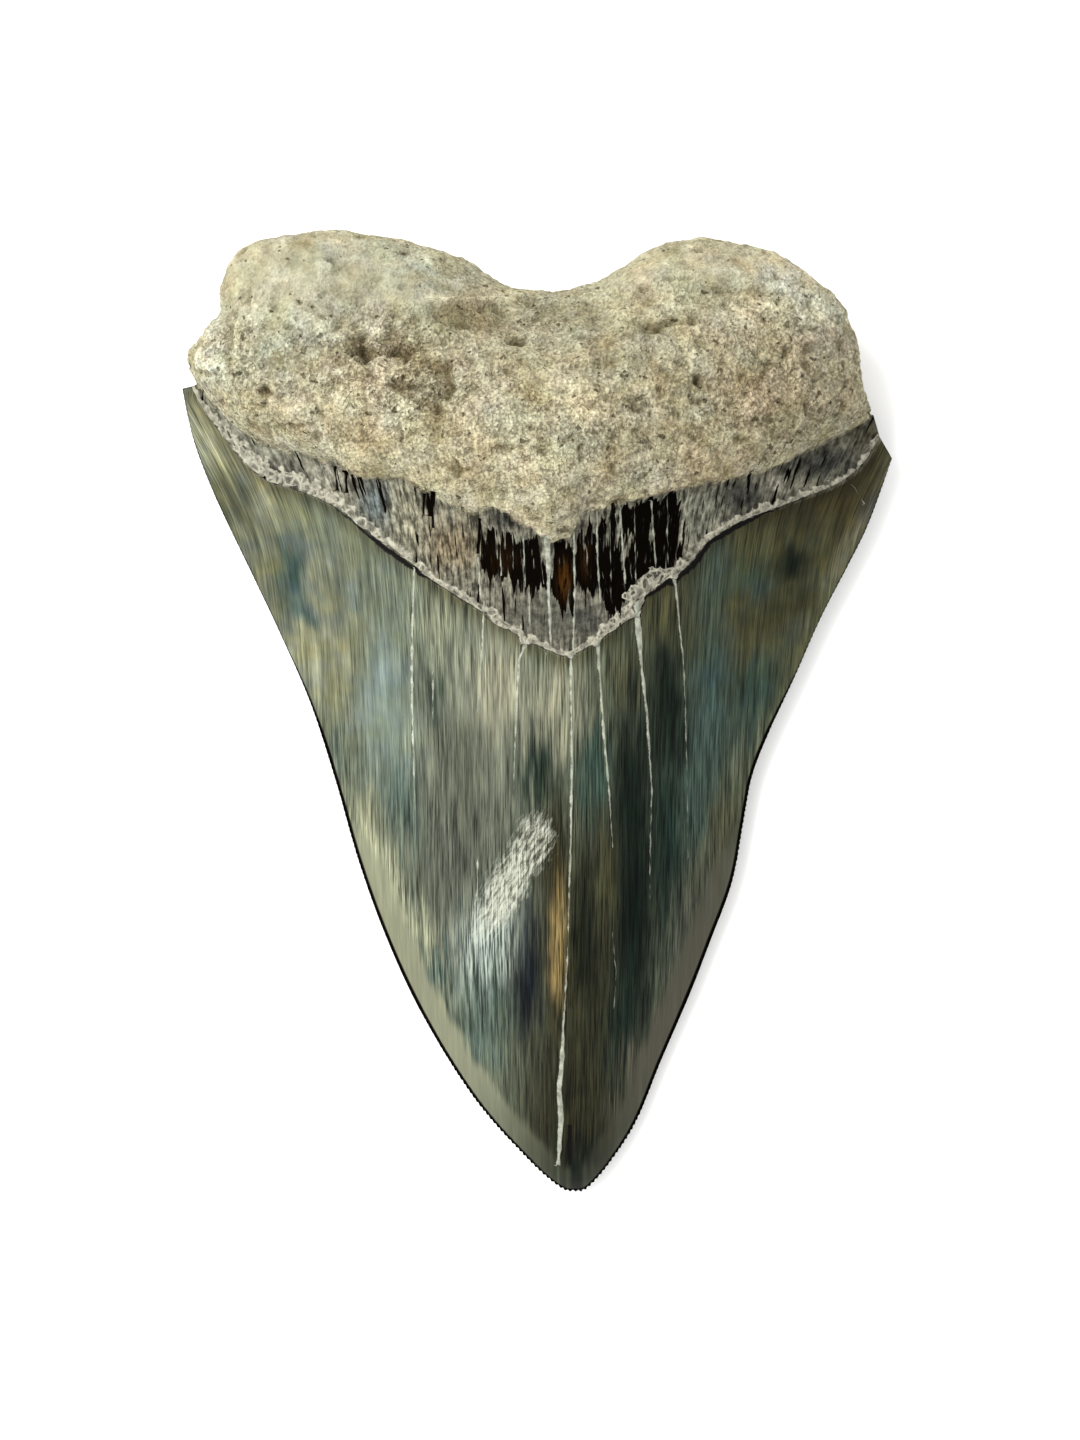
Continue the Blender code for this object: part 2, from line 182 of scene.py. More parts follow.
# Forms on the root in mm: place, reach across and along, and height
ROOT_FORMS = {
    "knob on the left lobe": (-27.0, 55.0, 2.6, 2.2, 1.0),
    "crest of the left lobe": (-30.0, 47.0, 5.0, 4.0, 0.9),
    "hollow under the left lobe": (-16.5, 45.5, 4.2, 2.6, -1.5),
    "hollow towards the neck": (-12.5, 39.5, 2.6, 5.0, -1.5),
    "swelling between the hollows": (-20.5, 38.5, 4.0, 3.5, 0.9),
    "patch scooped beside the notch": (-6.5, 50.0, 5.0, 1.8, -0.9),
    "saddle behind the notch": (6.0, 48.5, 5.0, 2.6, -1.0),
    "ridge along the right lobe": (21.0, 53.5, 9.0, 1.6, 1.2),
    "groove below that ridge": (19.0, 50.0, 8.0, 1.6, -0.9),
    "swelling of the right lobe": (30.0, 46.0, 6.0, 6.0, 0.9),
    "dip at the right edge": (36.5, 41.5, 2.6, 3.5, -0.8),
    "shelf at the left edge": (-41.0, 45.0, 2.8, 4.0, -1.6),
}
# Uneven surface of the root in mm: size and height of its lumps and of the smaller bumps on them
LUMP_SIZE = 8.0
LUMP_HEIGHT = 0.55
BUMP_SIZE = 3.2
BUMP_HEIGHT = 0.28
BUMP_SHIFT = Vector((7.0, 3.0, 1.0))

# Points closer than this are one, in mm
WELD = 0.01
# A point closer than this to a row of the grid is on that row, and a point beyond this share of
# the way across is on the rim
ON_ROW = 0.001
ON_RIM = 0.9999
# Steps of a curve between two knots, and of the outline read along one cutting edge or root side
PATH_STEPS = 10
EDGE_STEPS = 80
SIDE_STEPS = 20
# Points this close on the two faces are welded, in mm; and steps of a line whose gap is measured
SEAM_WELD = 0.001
GAP_STEPS = 500

# Saw teeth of the cutting edges in mm, and the pixels down the view over which they begin
SAW_PITCH = 0.7
SAW_DEPTH = 0.22
SAW_CUTS = 2
SAW_BEGINS = (640, 760)
# Share of their depth that the saw teeth have at the shoulders
SAW_START = 0.2

# Middle of the enamel's fine lines, and how far they fan out, by place along Y, both in mm
LINES_MIDDLE = 3.0
LINES_FAN = ((-61.4, 0.9), (-30.0, 0.98), (0.0, 1.0), (15.0, 1.03), (25.0, 1.09), (40.0, 1.3))

# Tones as they look in soft daylight, red, green and blue out of 255
TONES = {
    "khaki": (132, 132, 106),
    "grey khaki": (130, 134, 116),
    "margin khaki": (150, 151, 124),
    "pale khaki": (172, 172, 142),
    "grey green": (112, 120, 102),
    "olive": (84, 82, 54),
    "brown olive": (66, 58, 34),
    "teal": (56, 82, 74),
    "deep teal": (18, 42, 36),
    "green black": (2, 20, 13),
    "dark teal": (34, 66, 66),
    "smoke": (92, 95, 84),
    "slate": (77, 98, 91),
    "blue grey": (134, 150, 140),
    "navy": (12, 22, 32),
    "ochre": (152, 130, 84),
    "tan": (172, 168, 142),
    "purple grey": (98, 94, 80),
    "tip olive": (48, 46, 28),
    "chalk": (204, 208, 188),
    "white chalk": (230, 232, 212),
    # Tone of a painted highlight on the enamel
    "painted highlight": (176, 188, 180),
    "sand": (196, 184, 152),
    "cream": (218, 206, 172),
    "pale cream": (234, 228, 202),
    "grey sand": (190, 187, 162),
    "olive sand": (164, 158, 130),
    "brown sand": (140, 126, 96),
    "dark sand": (108, 92, 64),
    "rust": (190, 132, 84),
    "pink sand": (186, 164, 140),
    "ash": (138, 135, 118),
    "charcoal": (78, 79, 74),
    "black brown": (12, 9, 6),
    "amber": (110, 70, 28),
    "tan brown": (150, 136, 108),
    "blue ash": (112, 122, 120),
    "crust": (200, 196, 176),
    "pale green": (156, 156, 138),
}

# Stains: tone, middle across and down the view, reach across and down, lean to the right for
# each pixel down, and strength; all in pixels of the view
ENAMEL_STAINS = {
    "olive right side": ("olive", 770, 570, 130, 210, -0.4, 0.95),
    "dark middle right": ("deep teal", 655, 800, 64, 200, -0.1, 0.8),
    "dark lower heart": ("tip olive", 580, 970, 74, 220, 0.0, 0.95),
    "brown right shoulder": ("brown olive", 848, 478, 60, 62, 0.0, 0.85),
    "khaki middle": ("grey khaki", 480, 720, 96, 130, 0.0, 0.8),
    "khaki left side": ("khaki", 290, 580, 70, 170, 0.45, 0.75),
    "brown lines at the middle left": ("smoke", 455, 850, 54, 120, 0.05, 0.9),
    "pale left shoulder": ("pale khaki", 202, 430, 20, 46, 0.35, 0.85),
    "olive streak at the left edge": ("olive", 236, 506, 18, 42, 0.45, 0.75),
    "yellow streaks under the shoulder": ("pale khaki", 262, 482, 12, 44, 0.4, 0.6),
    "green left shoulder": ("grey green", 305, 520, 36, 30, 0.2, 0.5),
    "teal patch under the left shoulder": ("dark teal", 291, 574, 14, 36, 0.1, 0.9),
    "foot of that patch": ("teal", 303, 612, 13, 14, 0.2, 0.8),
    "pale green at the left edge": ("pale khaki", 312, 655, 22, 30, 0.3, 0.6),
    "grey green left middle": ("grey green", 355, 590, 36, 40, 0.0, 0.6),
    "teal cloud at the left edge": ("slate", 342, 750, 20, 34, 0.3, 0.25),
    "blue grey band on the left": ("blue grey", 386, 705, 26, 80, 0.0, 0.75),
    "teal foot of that band": ("slate", 402, 800, 16, 50, 0.1, 0.7),
    "khaki cloud at the left margin": ("khaki", 366, 815, 14, 26, 0.3, 0.6),
    "pale cloud at the left margin": ("pale khaki", 384, 880, 20, 60, 0.35, 0.9),
    "teal streaks beside the left band": ("deep teal", 434, 690, 12, 40, 0.0, 0.75),
    "khaki streaks under the ledge": ("pale khaki", 440, 620, 20, 30, 0.1, 0.5),
    "pale tan left of the notch": ("tan", 498, 684, 28, 52, 0.0, 0.75),
    "olive streaks beside the left crack": ("olive", 466, 770, 12, 50, 0.0, 0.25),
    "pale tan under the notch": ("tan", 556, 706, 34, 40, 0.0, 0.65),
    "teal block left of the middle": ("deep teal", 536, 772, 24, 34, 0.0, 0.9),
    "teal block right of the middle": ("teal", 592, 772, 18, 44, 0.0, 0.8),
    "dark lines left of the centre crack": ("tip olive", 552, 850, 14, 60, 0.0, 0.9),
    "olive beside the right crack": ("olive", 622, 672, 22, 30, 0.0, 0.6),
    "brown under the pale crust": ("olive", 664, 614, 24, 30, -0.1, 0.85),
    "green black by the right crack": ("green black", 668, 702, 15, 56, 0.0, 0.85),
    "dark teal beside the right crack": ("green black", 630, 780, 15, 76, 0.0, 0.8),
    "slate under the right wing": ("slate", 712, 572, 20, 44, -0.1, 0.5),
    "slate band on the right": ("slate", 712, 705, 20, 90, -0.05, 0.95),
    "teal right edge": ("teal", 756, 690, 22, 46, -0.3, 0.8),
    "teal cloud at the right": ("teal", 752, 580, 24, 22, 0.0, 0.6),
    "teal patch at the right": ("green black", 794, 564, 20, 19, -0.4, 0.95),
    "dark olive over that patch": ("tip olive", 788, 520, 30, 20, -0.3, 0.6),
    "brown patch at the right": ("olive", 752, 622, 30, 26, -0.1, 0.9),
    "brown right margin": ("olive", 724, 830, 18, 50, -0.25, 0.7),
    "slate lower right": ("slate", 692, 800, 16, 50, 0.0, 0.6),
    "dark stripe right of the crack": ("deep teal", 668, 850, 14, 70, 0.0, 0.8),
    "grey right edge": ("ash", 852, 540, 12, 60, -0.6, 0.4),
    "purple grey right margin": ("purple grey", 696, 915, 20, 70, -0.3, 0.45),
    "dark olive at the right edge": ("tip olive", 788, 602, 26, 24, -0.3, 0.65),
    "khaki inside the left margin": ("pale khaki", 424, 934, 15, 28, 0.3, 0.45),
    "green black heart": ("green black", 634, 910, 20, 130, 0.0, 0.95),
    "brown between the cracks": ("olive", 606, 875, 10, 44, 0.0, 0.7),
    "black beside the ochre": ("green black", 586, 950, 12, 80, 0.0, 0.6),
    "ochre streak": ("ochre", 558, 948, 8, 62, 0.0, 1.0),
    "dark teal left of the scrape": ("slate", 440, 964, 22, 14, 0.4, 0.8),
    "teal under the scrape": ("slate", 488, 1000, 28, 30, 0.1, 0.7),
    "navy stripe": ("navy", 527, 974, 16, 64, 0.0, 1.0),
    # Painted reflection: a blue white highlight on the enamel under the scrape
    "painted highlight streaks under the scrape": ("painted highlight", 487, 944, 26, 46, -0.15, 0.8),
    "grey green low middle": ("slate", 480, 1040, 24, 24, 0.2, 0.6),
    "tip": ("tip olive", 568, 1120, 60, 84, 0.0, 1.0),
    "green low right": ("deep teal", 622, 1020, 16, 60, -0.1, 0.7),
    "grey low right": ("purple grey", 652, 1040, 15, 70, -0.55, 0.8),
    "dark end of the tip": ("green black", 572, 1168, 28, 32, 0.0, 0.95),
}
NECK_STAINS = {
    "mottled left end": ("pale green", 222, 414, 20, 26, 0.8, 0.6),
    "grey left wing": ("pale green", 270, 448, 34, 14, 0.3, 0.9),
    "dark holes in the left crust": ("charcoal", 280, 476, 32, 16, 0.5, 0.9),
    "slotted left wing": ("crust", 330, 474, 24, 14, 0.4, 0.5),
    "blue ash patch": ("blue ash", 376, 502, 18, 26, 0.2, 0.95),
    "tan streaks": ("tan", 408, 520, 16, 36, 0.2, 0.8),
    "tan brown field": ("tan brown", 452, 546, 26, 28, 0.2, 0.95),
    "granular grey field": ("ash", 458, 586, 24, 20, 0.4, 0.9),
    "grey green over the cluster": ("charcoal", 506, 518, 16, 12, 0.0, 0.9),
    "grey ash below the cluster": ("ash", 508, 605, 30, 24, 0.3, 0.9),
    "smooth blue ash": ("charcoal", 552, 620, 50, 26, 0.0, 0.45),
    "dark ash right of the amber": ("charcoal", 590, 618, 16, 16, 0.0, 0.8),
    "pale crust right of the plates": ("crust", 636, 602, 30, 18, -0.3, 1.0),
    "pale green by the right cluster": ("pale green", 698, 514, 20, 28, 0.0, 0.9),
    "slate segment": ("charcoal", 741, 496, 24, 15, -0.2, 0.95),
    "pale block": ("crust", 775, 482, 8, 10, 0.0, 0.9),
    "dark right wing": ("charcoal", 822, 462, 44, 14, -0.45, 1.0),
    "brown at the right end": ("brown olive", 866, 434, 16, 10, 0.0, 0.7),
}
ROOT_STAINS = {
    "grey left lobe": ("grey sand", 285, 320, 60, 60, 0.0, 0.6),
    "olive saddle of the left lobe": ("grey sand", 400, 266, 110, 30, 0.1, 0.7),
    "pale crest of the right lobe": ("cream", 716, 266, 80, 28, 0.0, 0.2),
    "pale shelf at the left": ("pale cream", 208, 350, 18, 44, 0.0, 0.9),
    "cream lower left": ("cream", 320, 420, 80, 34, 0.3, 0.65),
    "rusty tints": ("rust", 368, 410, 14, 30, 0.0, 0.25),
    "rough band of the hollow": ("brown sand", 428, 358, 36, 14, 0.3, 0.5),
    "crevices left of the hollow": ("dark sand", 360, 346, 14, 14, 0.0, 0.5),
    "brown hollow": ("brown sand", 430, 384, 20, 40, 0.2, 0.25),
    "brown patch by the notch": ("brown sand", 472, 316, 42, 12, 0.0, 0.25),
    "olive by the notch": ("olive sand", 560, 312, 50, 16, 0.0, 0.85),
    "cream middle": ("cream", 555, 440, 90, 60, 0.0, 0.5),
    "cream over the plates": ("cream", 640, 470, 40, 20, 0.0, 0.5),
    "cream foot of the root": ("cream", 545, 505, 50, 26, 0.0, 0.35),
    "grey right of the notch": ("olive sand", 610, 345, 50, 30, 0.0, 0.5),
    "pink right lobe": ("pink sand", 800, 360, 60, 50, 0.0, 0.4),
    "pale top of the right lobe": ("pale cream", 800, 296, 46, 34, 0.3, 0.75),
    "cream by the right crest": ("cream", 704, 306, 40, 18, 0.0, 0.3),
    "sand by the left crest": ("grey sand", 400, 300, 50, 20, 0.2, 0.35),
    "rusty lower right": ("rust", 706, 462, 50, 20, 0.0, 0.15),
    # Painted shade: the lower right of the root is painted darker as its shaded side
    "painted shade low right": ("olive sand", 790, 425, 60, 26, -0.2, 0.5),
    "rust on the right lobe": ("rust", 760, 400, 50, 26, 0.0, 0.15),
}

# Cracks filled with pale stone, and the pale seams between the plates of the neck: points down
# each as (across, down, half width) in pixels of the view
CRACKS = {
    "dotted crack at the left": (
        (414, 566, 1.0), (412, 640, 1.6), (412, 700, 1.6), (415, 810, 0.4),
    ),
    "short crack beside it": ((433, 640, 0.4), (433, 680, 1.0), (433, 722, 0.4)),
    "left crack": ((484, 600, 1.2), (482, 650, 1.6), (477, 715, 0.6)),
    "left middle crack": ((527, 640, 2.2), (519, 660, 1.8), (516, 720, 1.2), (513, 800, 0.4)),
    "seam at the left cluster": ((478, 556, 1.4), (481, 600, 1.2)),
    "second seam at the left cluster": ((499, 530, 0.6), (501, 578, 0.8)),
    "third seam at the left cluster": ((512, 528, 0.7), (513, 570, 0.5)),
    "fourth seam at the left cluster": ((523, 535, 1.2), (525, 588, 0.7)),
    "fine seams of the right cluster": ((610, 512, 0.7), (612, 600, 0.5)),
    "fine seam after it": ((635, 506, 0.5), (637, 590, 0.7)),
    "last fine seam": ((668, 495, 0.5), (669, 570, 0.6)),
    "streak beside the scrape": ((478, 854, 0.9), (477, 892, 1.1), (472, 920, 0.4)),
    "seam in the ash": ((529, 592, 1.0), (530, 640, 1.0)),
    "seam before the amber plate": (
        (547, 535, 4.0), (548, 560, 3.4), (549, 600, 2.0), (551, 650, 1.4),
    ),
    "stub of that seam": ((546, 652, 1.2), (545, 668, 0.4)),
    "seam after the amber plate": ((574, 530, 1.4), (575, 590, 1.2), (573, 652, 1.4)),
    "centre crack": (
        (571, 650, 2.6), (571, 700, 1.6), (572, 760, 1.8), (571, 830, 1.5), (569, 900, 0.9),
        (568, 950, 0.8), (565, 1000, 1.0), (563, 1030, 1.6), (562, 1060, 2.6), (559, 1090, 3.2),
        (561, 1120, 3.2), (558, 1166, 2.0),
    ),
    "seam in the right cluster": ((597, 510, 1.4), (598, 560, 1.3), (601, 606, 1.4)),
    "right middle crack": (
        (597, 640, 2.4), (600, 680, 1.6), (604, 735, 1.6), (609, 790, 1.2), (613, 850, 0.5),
    ),
    "second seam": ((620, 505, 1.2), (623, 540, 1.4), (626, 585, 1.2)),
    "third seam": ((652, 500, 1.0), (655, 540, 1.2), (657, 575, 1.0)),
    "right crack": (
        (636, 600, 3.0), (639, 635, 4.0), (641, 660, 1.8), (647, 715, 1.6), (652, 790, 1.0),
        (650, 860, 0.6), (650, 900, 0.3),
    ),
    "far right crack": (
        (675, 578, 1.8), (679, 620, 1.3), (684, 670, 0.9), (687, 760, 0.5), (688, 860, 0.2),
    ),
    "faint crack low right": ((612, 930, 0.3), (616, 970, 0.7), (614, 1010, 0.4)),
    "scratch at the right": ((852, 484, 0.5), (866, 506, 0.7)),
}
# How far from such a line its offset is told, and from where on its width fades, in pixels
CRACK_REACH = 8.0
LINE_HOLD = 3.2
# Open slots of the neck and the tip, as the cracks are; cut shallow, their insides are painted
# black as their shade
SLOTS = {
    "left wing slot": ((334, 466, 1.5), (336, 492, 1.5)),
    "second left wing slot": ((344, 470, 2.2), (346, 494, 1.6)),
    "slot of the tan field": ((424, 492, 1.6), (423, 516, 1.4)),
    "deep slot": ((432, 492, 2.8), (431, 510, 2.4), (433, 530, 1.6)),
    "slot by the left cluster": ((479, 518, 2.2), (478, 555, 1.8)),
    "pit at the tip": ((570, 1126, 2.4), (570, 1150, 3.4), (570, 1168, 1.4)),
}

# Top and bottom edges of the dark plates of the neck, as (across, down) in pixels of the view
PLATE_TOPS = (
    (482, 560), (486, 530), (500, 526), (520, 540), (524, 544), (533, 531), (540, 548), (546, 575),
    (552, 570), (557, 548), (563, 537), (570, 548), (575, 552), (577, 534), (586, 530), (597, 528),
    (600, 528), (612, 514), (624, 507), (640, 503), (656, 498), (670, 492), (677, 491), (684, 520),
)
PLATE_BOTTOMS = (
    (482, 562), (490, 578), (515, 583), (530, 589), (543, 592), (547, 578), (552, 598), (562, 614),
    (568, 618), (574, 600), (577, 589), (597, 590), (602, 608), (608, 612), (622, 598), (640, 585),
    (657, 579), (672, 572), (681, 561), (684, 545),
)

# Where the dark plates glow brown: a spot on the view and its strength
AMBER_PLATES = {
    "amber plate": (564, 580, 6, 18, 0.0, 0.65),
    "brown left cluster": (503, 560, 16, 16, 0.0, 0.08),
    "brown plate right of the amber": (586, 562, 6, 18, 0.0, 0.15),
}

# Common grit of the root, where it is grittier than that, and where it is worn smoother
COMMON_GRIT = 0.8
ROOT_GRIT = {
    "smooth left lobe": (300, 268, 110, 50, 0.0, -0.55),
    "smooth slope to the notch": (420, 290, 70, 26, 0.3, -0.3),
    "smooth ridge of the right lobe": (680, 264, 120, 28, 0.0, -0.4),
    "gritty hollow": (400, 380, 80, 66, 0.3, 0.4),
    "gritty left side": (240, 360, 40, 50, 0.0, 0.15),
    "gritty middle": (600, 440, 120, 60, 0.0, 0.2),
    "gritty right lobe": (780, 390, 80, 70, 0.0, 0.25),
}
# Where the enamel is cloudy, and where its fine lines stand out more or less than elsewhere
ENAMEL_CLOUDS = {
    "cloudy left side": (295, 575, 92, 190, 0.4, 1.0),
    "cloudy right side": (800, 575, 86, 150, -0.45, 1.0),
}
LINES_STRENGTH = {
    "cloudy left side": (295, 575, 92, 190, 0.4, -0.5),
    "cloudy right side": (800, 575, 86, 150, -0.45, -0.45),
    # Painted reflection: the lines under the scrape stand out as white glints
    "painted white glints under the scrape": (488, 945, 32, 56, -0.15, 1.5),
    "smooth ash under the plates": (548, 618, 56, 24, 0.0, -0.65),
    "calm blue grey band": (386, 705, 28, 90, 0.0, -0.35),
    "calm middle": (490, 735, 44, 70, 0.0, -0.4),
}

# Pits, crumbs and ledges of the root: middle across and down the view, reach across and down in
# pixels of the view, and height in mm
ROOT_MARKS = {
    "long pit by the notch": (516, 341, 10, 4, -0.7),
    "pit with a crumb": (640, 405, 8, 8, -0.6),
    "crumb in that pit": (640, 404, 4, 4, 0.5),
    "upright pit": (699, 380, 4, 9, -0.6),
    "black pit": (364, 350, 5, 6, -0.9),
    "crevice left of the hollow": (356, 340, 9, 5, -0.5),
    "crevice along the hollow": (404, 350, 16, 5, -0.6),
    "crevice at the right of the hollow": (440, 366, 12, 7, -0.7),
    "lower crevice of the hollow": (448, 390, 8, 10, -0.5),
    "lump in the hollow": (425, 378, 9, 7, 0.4),
    "lump left of the hollow": (385, 372, 10, 8, 0.4),
    "upper lump of the hollow": (380, 332, 10, 5, 0.4),
    "valley under the hollow": (436, 420, 7, 26, -0.4),
    "pit at the left": (264, 393, 7, 6, -0.6),
    "small pit of the left lobe": (300, 301, 4, 3, -0.5),
    "pit over the neck": (456, 470, 5, 10, -0.8),
    "small knob": (325, 268, 9, 7, 0.6),
    "shade of the knob": (330, 262, 7, 4, -0.4),
    "groove of the right lobe": (668, 322, 40, 4, -0.35),
    "hole in that groove": (650, 328, 12, 5, -0.5),
    "second hole in it": (694, 318, 6, 6, -0.45),
    "line below the right crest": (742, 292, 40, 3, -0.25),
    "edge of the scooped patch": (472, 300, 44, 3, 0.35),
    "scooped patch": (473, 316, 44, 14, -0.4),
    "crease of the left shelf": (228, 345, 5, 30, -0.5),
    "second crease of the left shelf": (212, 375, 12, 4, -0.4),
    "chip at the right": (874, 415, 5, 6, -0.5),
    "pits of the right lobe": (806, 330, 4, 4, -0.4),
    "dip over the right wing": (742, 440, 10, 4, -0.3),
}

# Width of the pale crust along the upper edge of the enamel, by how far across the view; both in
# pixels
CRUST_WIDTHS = (
    (185, 3), (215, 8), (255, 14), (300, 18), (340, 11), (400, 9), (450, 7), (500, 10), (540, 7),
    (570, 5), (590, 8), (615, 15), (645, 17), (672, 12), (700, 7), (760, 8), (880, 5),
)
# Where the crust hangs over the enamel's upper edge, and by how much in mm
CRUST_DRIPS = {
    "patch right of the plates": (624, 610, 24, 10, -0.25, 0.9),
    "drip on the right crack": (640, 628, 5, 14, 0.0, 1.6),
    "drip on the left middle crack": (524, 640, 6, 8, -0.3, 0.9),
    "drip on the left crack": (484, 598, 5, 7, 0.0, 0.5),
    "patch left of that drip": (504, 622, 14, 8, 0.4, 0.5),
    "drip on the centre crack": (571, 656, 4, 8, 0.0, 0.6),
    "drip on the right middle crack": (597, 640, 4, 8, 0.0, 0.7),
    "drip on the far right crack": (675, 582, 4, 7, 0.0, 0.5),
}
# Painted shadow under the crust: how dark the groove below its edge is painted, and how deep
# that groove is cut, by how far across the view in pixels
LEDGE_SHADOWS = (
    (200, 0.0), (320, 0.1), (360, 0.5), (385, 1.0), (415, 0.9), (432, 0.2), (520, 0.1), (600, 0.15),
    (645, 0.4), (670, 1.0), (740, 0.9), (765, 0.5), (790, 0.1), (880, 0.0),
)
# Common height of the lumps of the root, and where they are higher
COMMON_LUMPS = 0.4
ROOT_LUMPS = {
    "rough hollow": (390, 362, 62, 48, 0.0, 1.2),
    "rough left side": (215, 350, 22, 50, 0.0, 0.6),
}
# Place of the crevices of the hollow, as a stain without its tone and strength
HOLLOW_CREVICES = (412, 368, 60, 26, 1.0)
# Relief of the root: levels of a noise in a crevice and in a pit, what grit adds to the pits'
# noise, and depths in mm; and the factor that all of the marks' heights are raised by
CREVICE_LEVELS = (0.14, 0.0)
CREVICE_DEPTH = 0.7
PIT_LEVELS = (0.3, 0.6)
PITS_BY_GRIT = 0.25
PIT_DEPTH = 0.4
MARK_RAISE = 1.3
# How firm the edge of a spot is, and that of a mark
SPOT_FIRMNESS = 1.3
MARK_FIRMNESS = 2.5
# Relief of the neck and the enamel in mm, and in pixels how wide the edges of plates and slots are
CRUST_HEIGHT = 0.3
PLATE_DEPTH = 0.25
PLATE_EDGE = 2.0
GROOVE_WIDTH = 0.3
GROOVE_DEPTH = 0.2
SCRAPE_DEPTH = 0.2
SLOT_DEPTH = 0.45
SLOT_EDGE = 1.5
# Painted light and shade of the root: how much paler each mm of height makes the stone, so that
# its heights are painted lighter and its hollows darker, its level and its limits, and how strongly
# that painted shade works on red, green and blue; and the tint of all of the stone
HOLLOW_SHADE = 0.75
ROOT_LEVEL = 1.04
ROOT_SHADES = (0.35, 1.35)
HOLLOW_TINT = (1.0, 1.08, 1.25)
ROOT_TINT = (0.965, 1.02, 1.035)
# Width of the dark line along the saw teeth in mm, and its share of that at the shoulders; the
# line is the edges' own dark colour with painted shadow at the raised edge
EDGE_LINE = 0.5
EDGE_LINE_START = 0.3
# Shade below the upper edge of the enamel: its reach in mm and how much of each colour it takes
LEDGE_SHADE = 1.5
LEDGE_TINT = (0.45, 0.5, 0.6)
# How much darker the streaks make the enamel
STREAKS_DARKEN = 0.08

# Smooth margins of the lower crown: width in mm, how far out they start, the pixels down the view
# over which they begin, the softness of their edge in mm and the strength of the lines on them
MARGIN = 3.2
MARGIN_START = 6
MARGIN_BEGINS = (760, 880)
MARGIN_SOFTNESS = (-1.0, 0.8)
MARGIN_LINES = 0.12
# Their stain: tone by side, softness and fraying of its edge in mm, pixels down the view over
# which it begins and fades, and its strength before and after it fades
MARGIN_TONES = {-1: "margin khaki", 1: "purple grey"}
MARGIN_EDGE = 1.4
MARGIN_FRAYING = (0.4, 0.6)
MARGIN_STAIN_BEGINS = (790, 950)
MARGIN_STAIN_FADES = (1040, 1170)
MARGIN_STAIN = (0.85, 0.1)

# How far the edges of stains stray in pixels: across, down, and along the lines of the enamel
CLEAR_STRAYS = (4, 10, 34)
CLOUDY_STRAYS = (9, 10, 8)
NECK_STRAYS = (4, 4, 10)
ROOT_STRAYS = (12, 12, 0)

# Noises on the surface: for each layer its share, the size of its lumps in mm, and its shift
ROUGHNESS = {
    "edge of the root": ((0.3, 2.2),),
    "edge of the enamel": ((0.16, 1.1, (6, 2, 6)), (0.1, 0.6, (2, 6, 6))),
    "width of the crust": ((0.55, 0.9, (4, 1, 2)), (0.35, 0.5, (1, 5, 2))),
    "lumps": ((0.6, 2.4), (0.4, 1.2, (9, 2, 5))),
    "grains": ((0.16, 0.8), (0.14, 0.5)),
    "crevices": ((1.0, 2.6, (2, 2, 9)), (0.25, 0.9, (7, 1, 1))),
    "pits": ((1.0, 1.2, (3, 8, 5)),),
    "marks across": ((3.0, 1.5),),
    "marks down": ((3.0, 1.5, (6, 6, 6)),),
    "crumbs of the neck": ((0.14, 0.6, (2, 2, 2)),),
    "stains across": ((1.0, 3.0),),
    "stains down": ((1.0, 3.0, (4, 4, 4)),),
    "clouds of the enamel": ((1.0, 2.6, (7, 7, 2)), (0.7, 1.1, (1, 2, 8))),
    "warmth of the enamel": ((1.0, 3.4, (3, 1, 7)), (0.6, 1.4, (9, 9, 1))),
    "warmth of the root": ((1.0, 4.0, (5, 5, 1)), (0.7, 1.7, (8, 1, 1))),
    "blush of the root": ((1.0, 5.0, (2, 9, 4)), (0.7, 2.0, (4, 3, 9))),
}
# The same along the lines of the enamel, with the size of lumps across and along them
STREAKS = {
    "edge of the root": ((0.3, (0.7, 1.6, 1.0)),),
    "width of the cracks": ((0.9, (3.0, 1.1, 1.0), (3, 9, 0)),),
    "ends of the plates": ((9.0, (0.45, 6.0, 1.0)),),
    "ribs of the neck": ((0.12, (0.5, 4.0, 1.0), (5, 1, 0)),),
    "waves of the enamel": ((0.05, (2.5, 14.0, 1.0)),),
    "ends of the stains": ((1.0, (0.8, 9.0, 1.0), (1, 7, 0)), (0.6, (0.45, 5.0, 1.0))),
    "tone of the enamel": ((0.4, (0.8, 10.0, 1.0), (6, 3, 0)),),
}
# How strongly some of these noises tint red, green and blue
TINTS = {
    "clouds of the enamel": (0.3, 0.26, 0.22),
    "warmth of the enamel": (0.12, 0.04, -0.26),
    "warmth of the root": (0.04, 0.0, -0.1),
    "blush of the root": (0.035, -0.02, 0.0),
}

# Grains of the material: scale, detail and roughness
GRAINS = {
    "grains": (2100.0, 3.0, 0.7),
    "clumps": (520.0, 3.0, 0.7),
    "drifts": (220.0, 3.0, 0.6),
    "specks": (1250.0, 1.0, 0.5),
    "holes": (900.0, 2.0, 0.5),
    "crumbs": (1100.0, 3.0, 0.6),
    "fraying": (420.0, 3.0, 0.6),
    "scratches": (1.0, 4.0, 0.7),
}
# Grains drawn out along the lines of the enamel: scale across and along, detail and roughness
DRAWN_GRAINS = {
    "fine lines": (6.0, 0.2, 3.0, 0.6),
    "broad lines": (2.4, 0.1, 3.0, 0.65),
    "dark hairs": (6.5, 0.12, 1.0, 0.5),
    "neck slits": (2.2, 0.4, 3.0, 0.6),
    "plate shine": (3.4, 0.3, 3.0, 0.6),
    "plate spires": (1.5, 0.12, 2.0, 0.6),
}
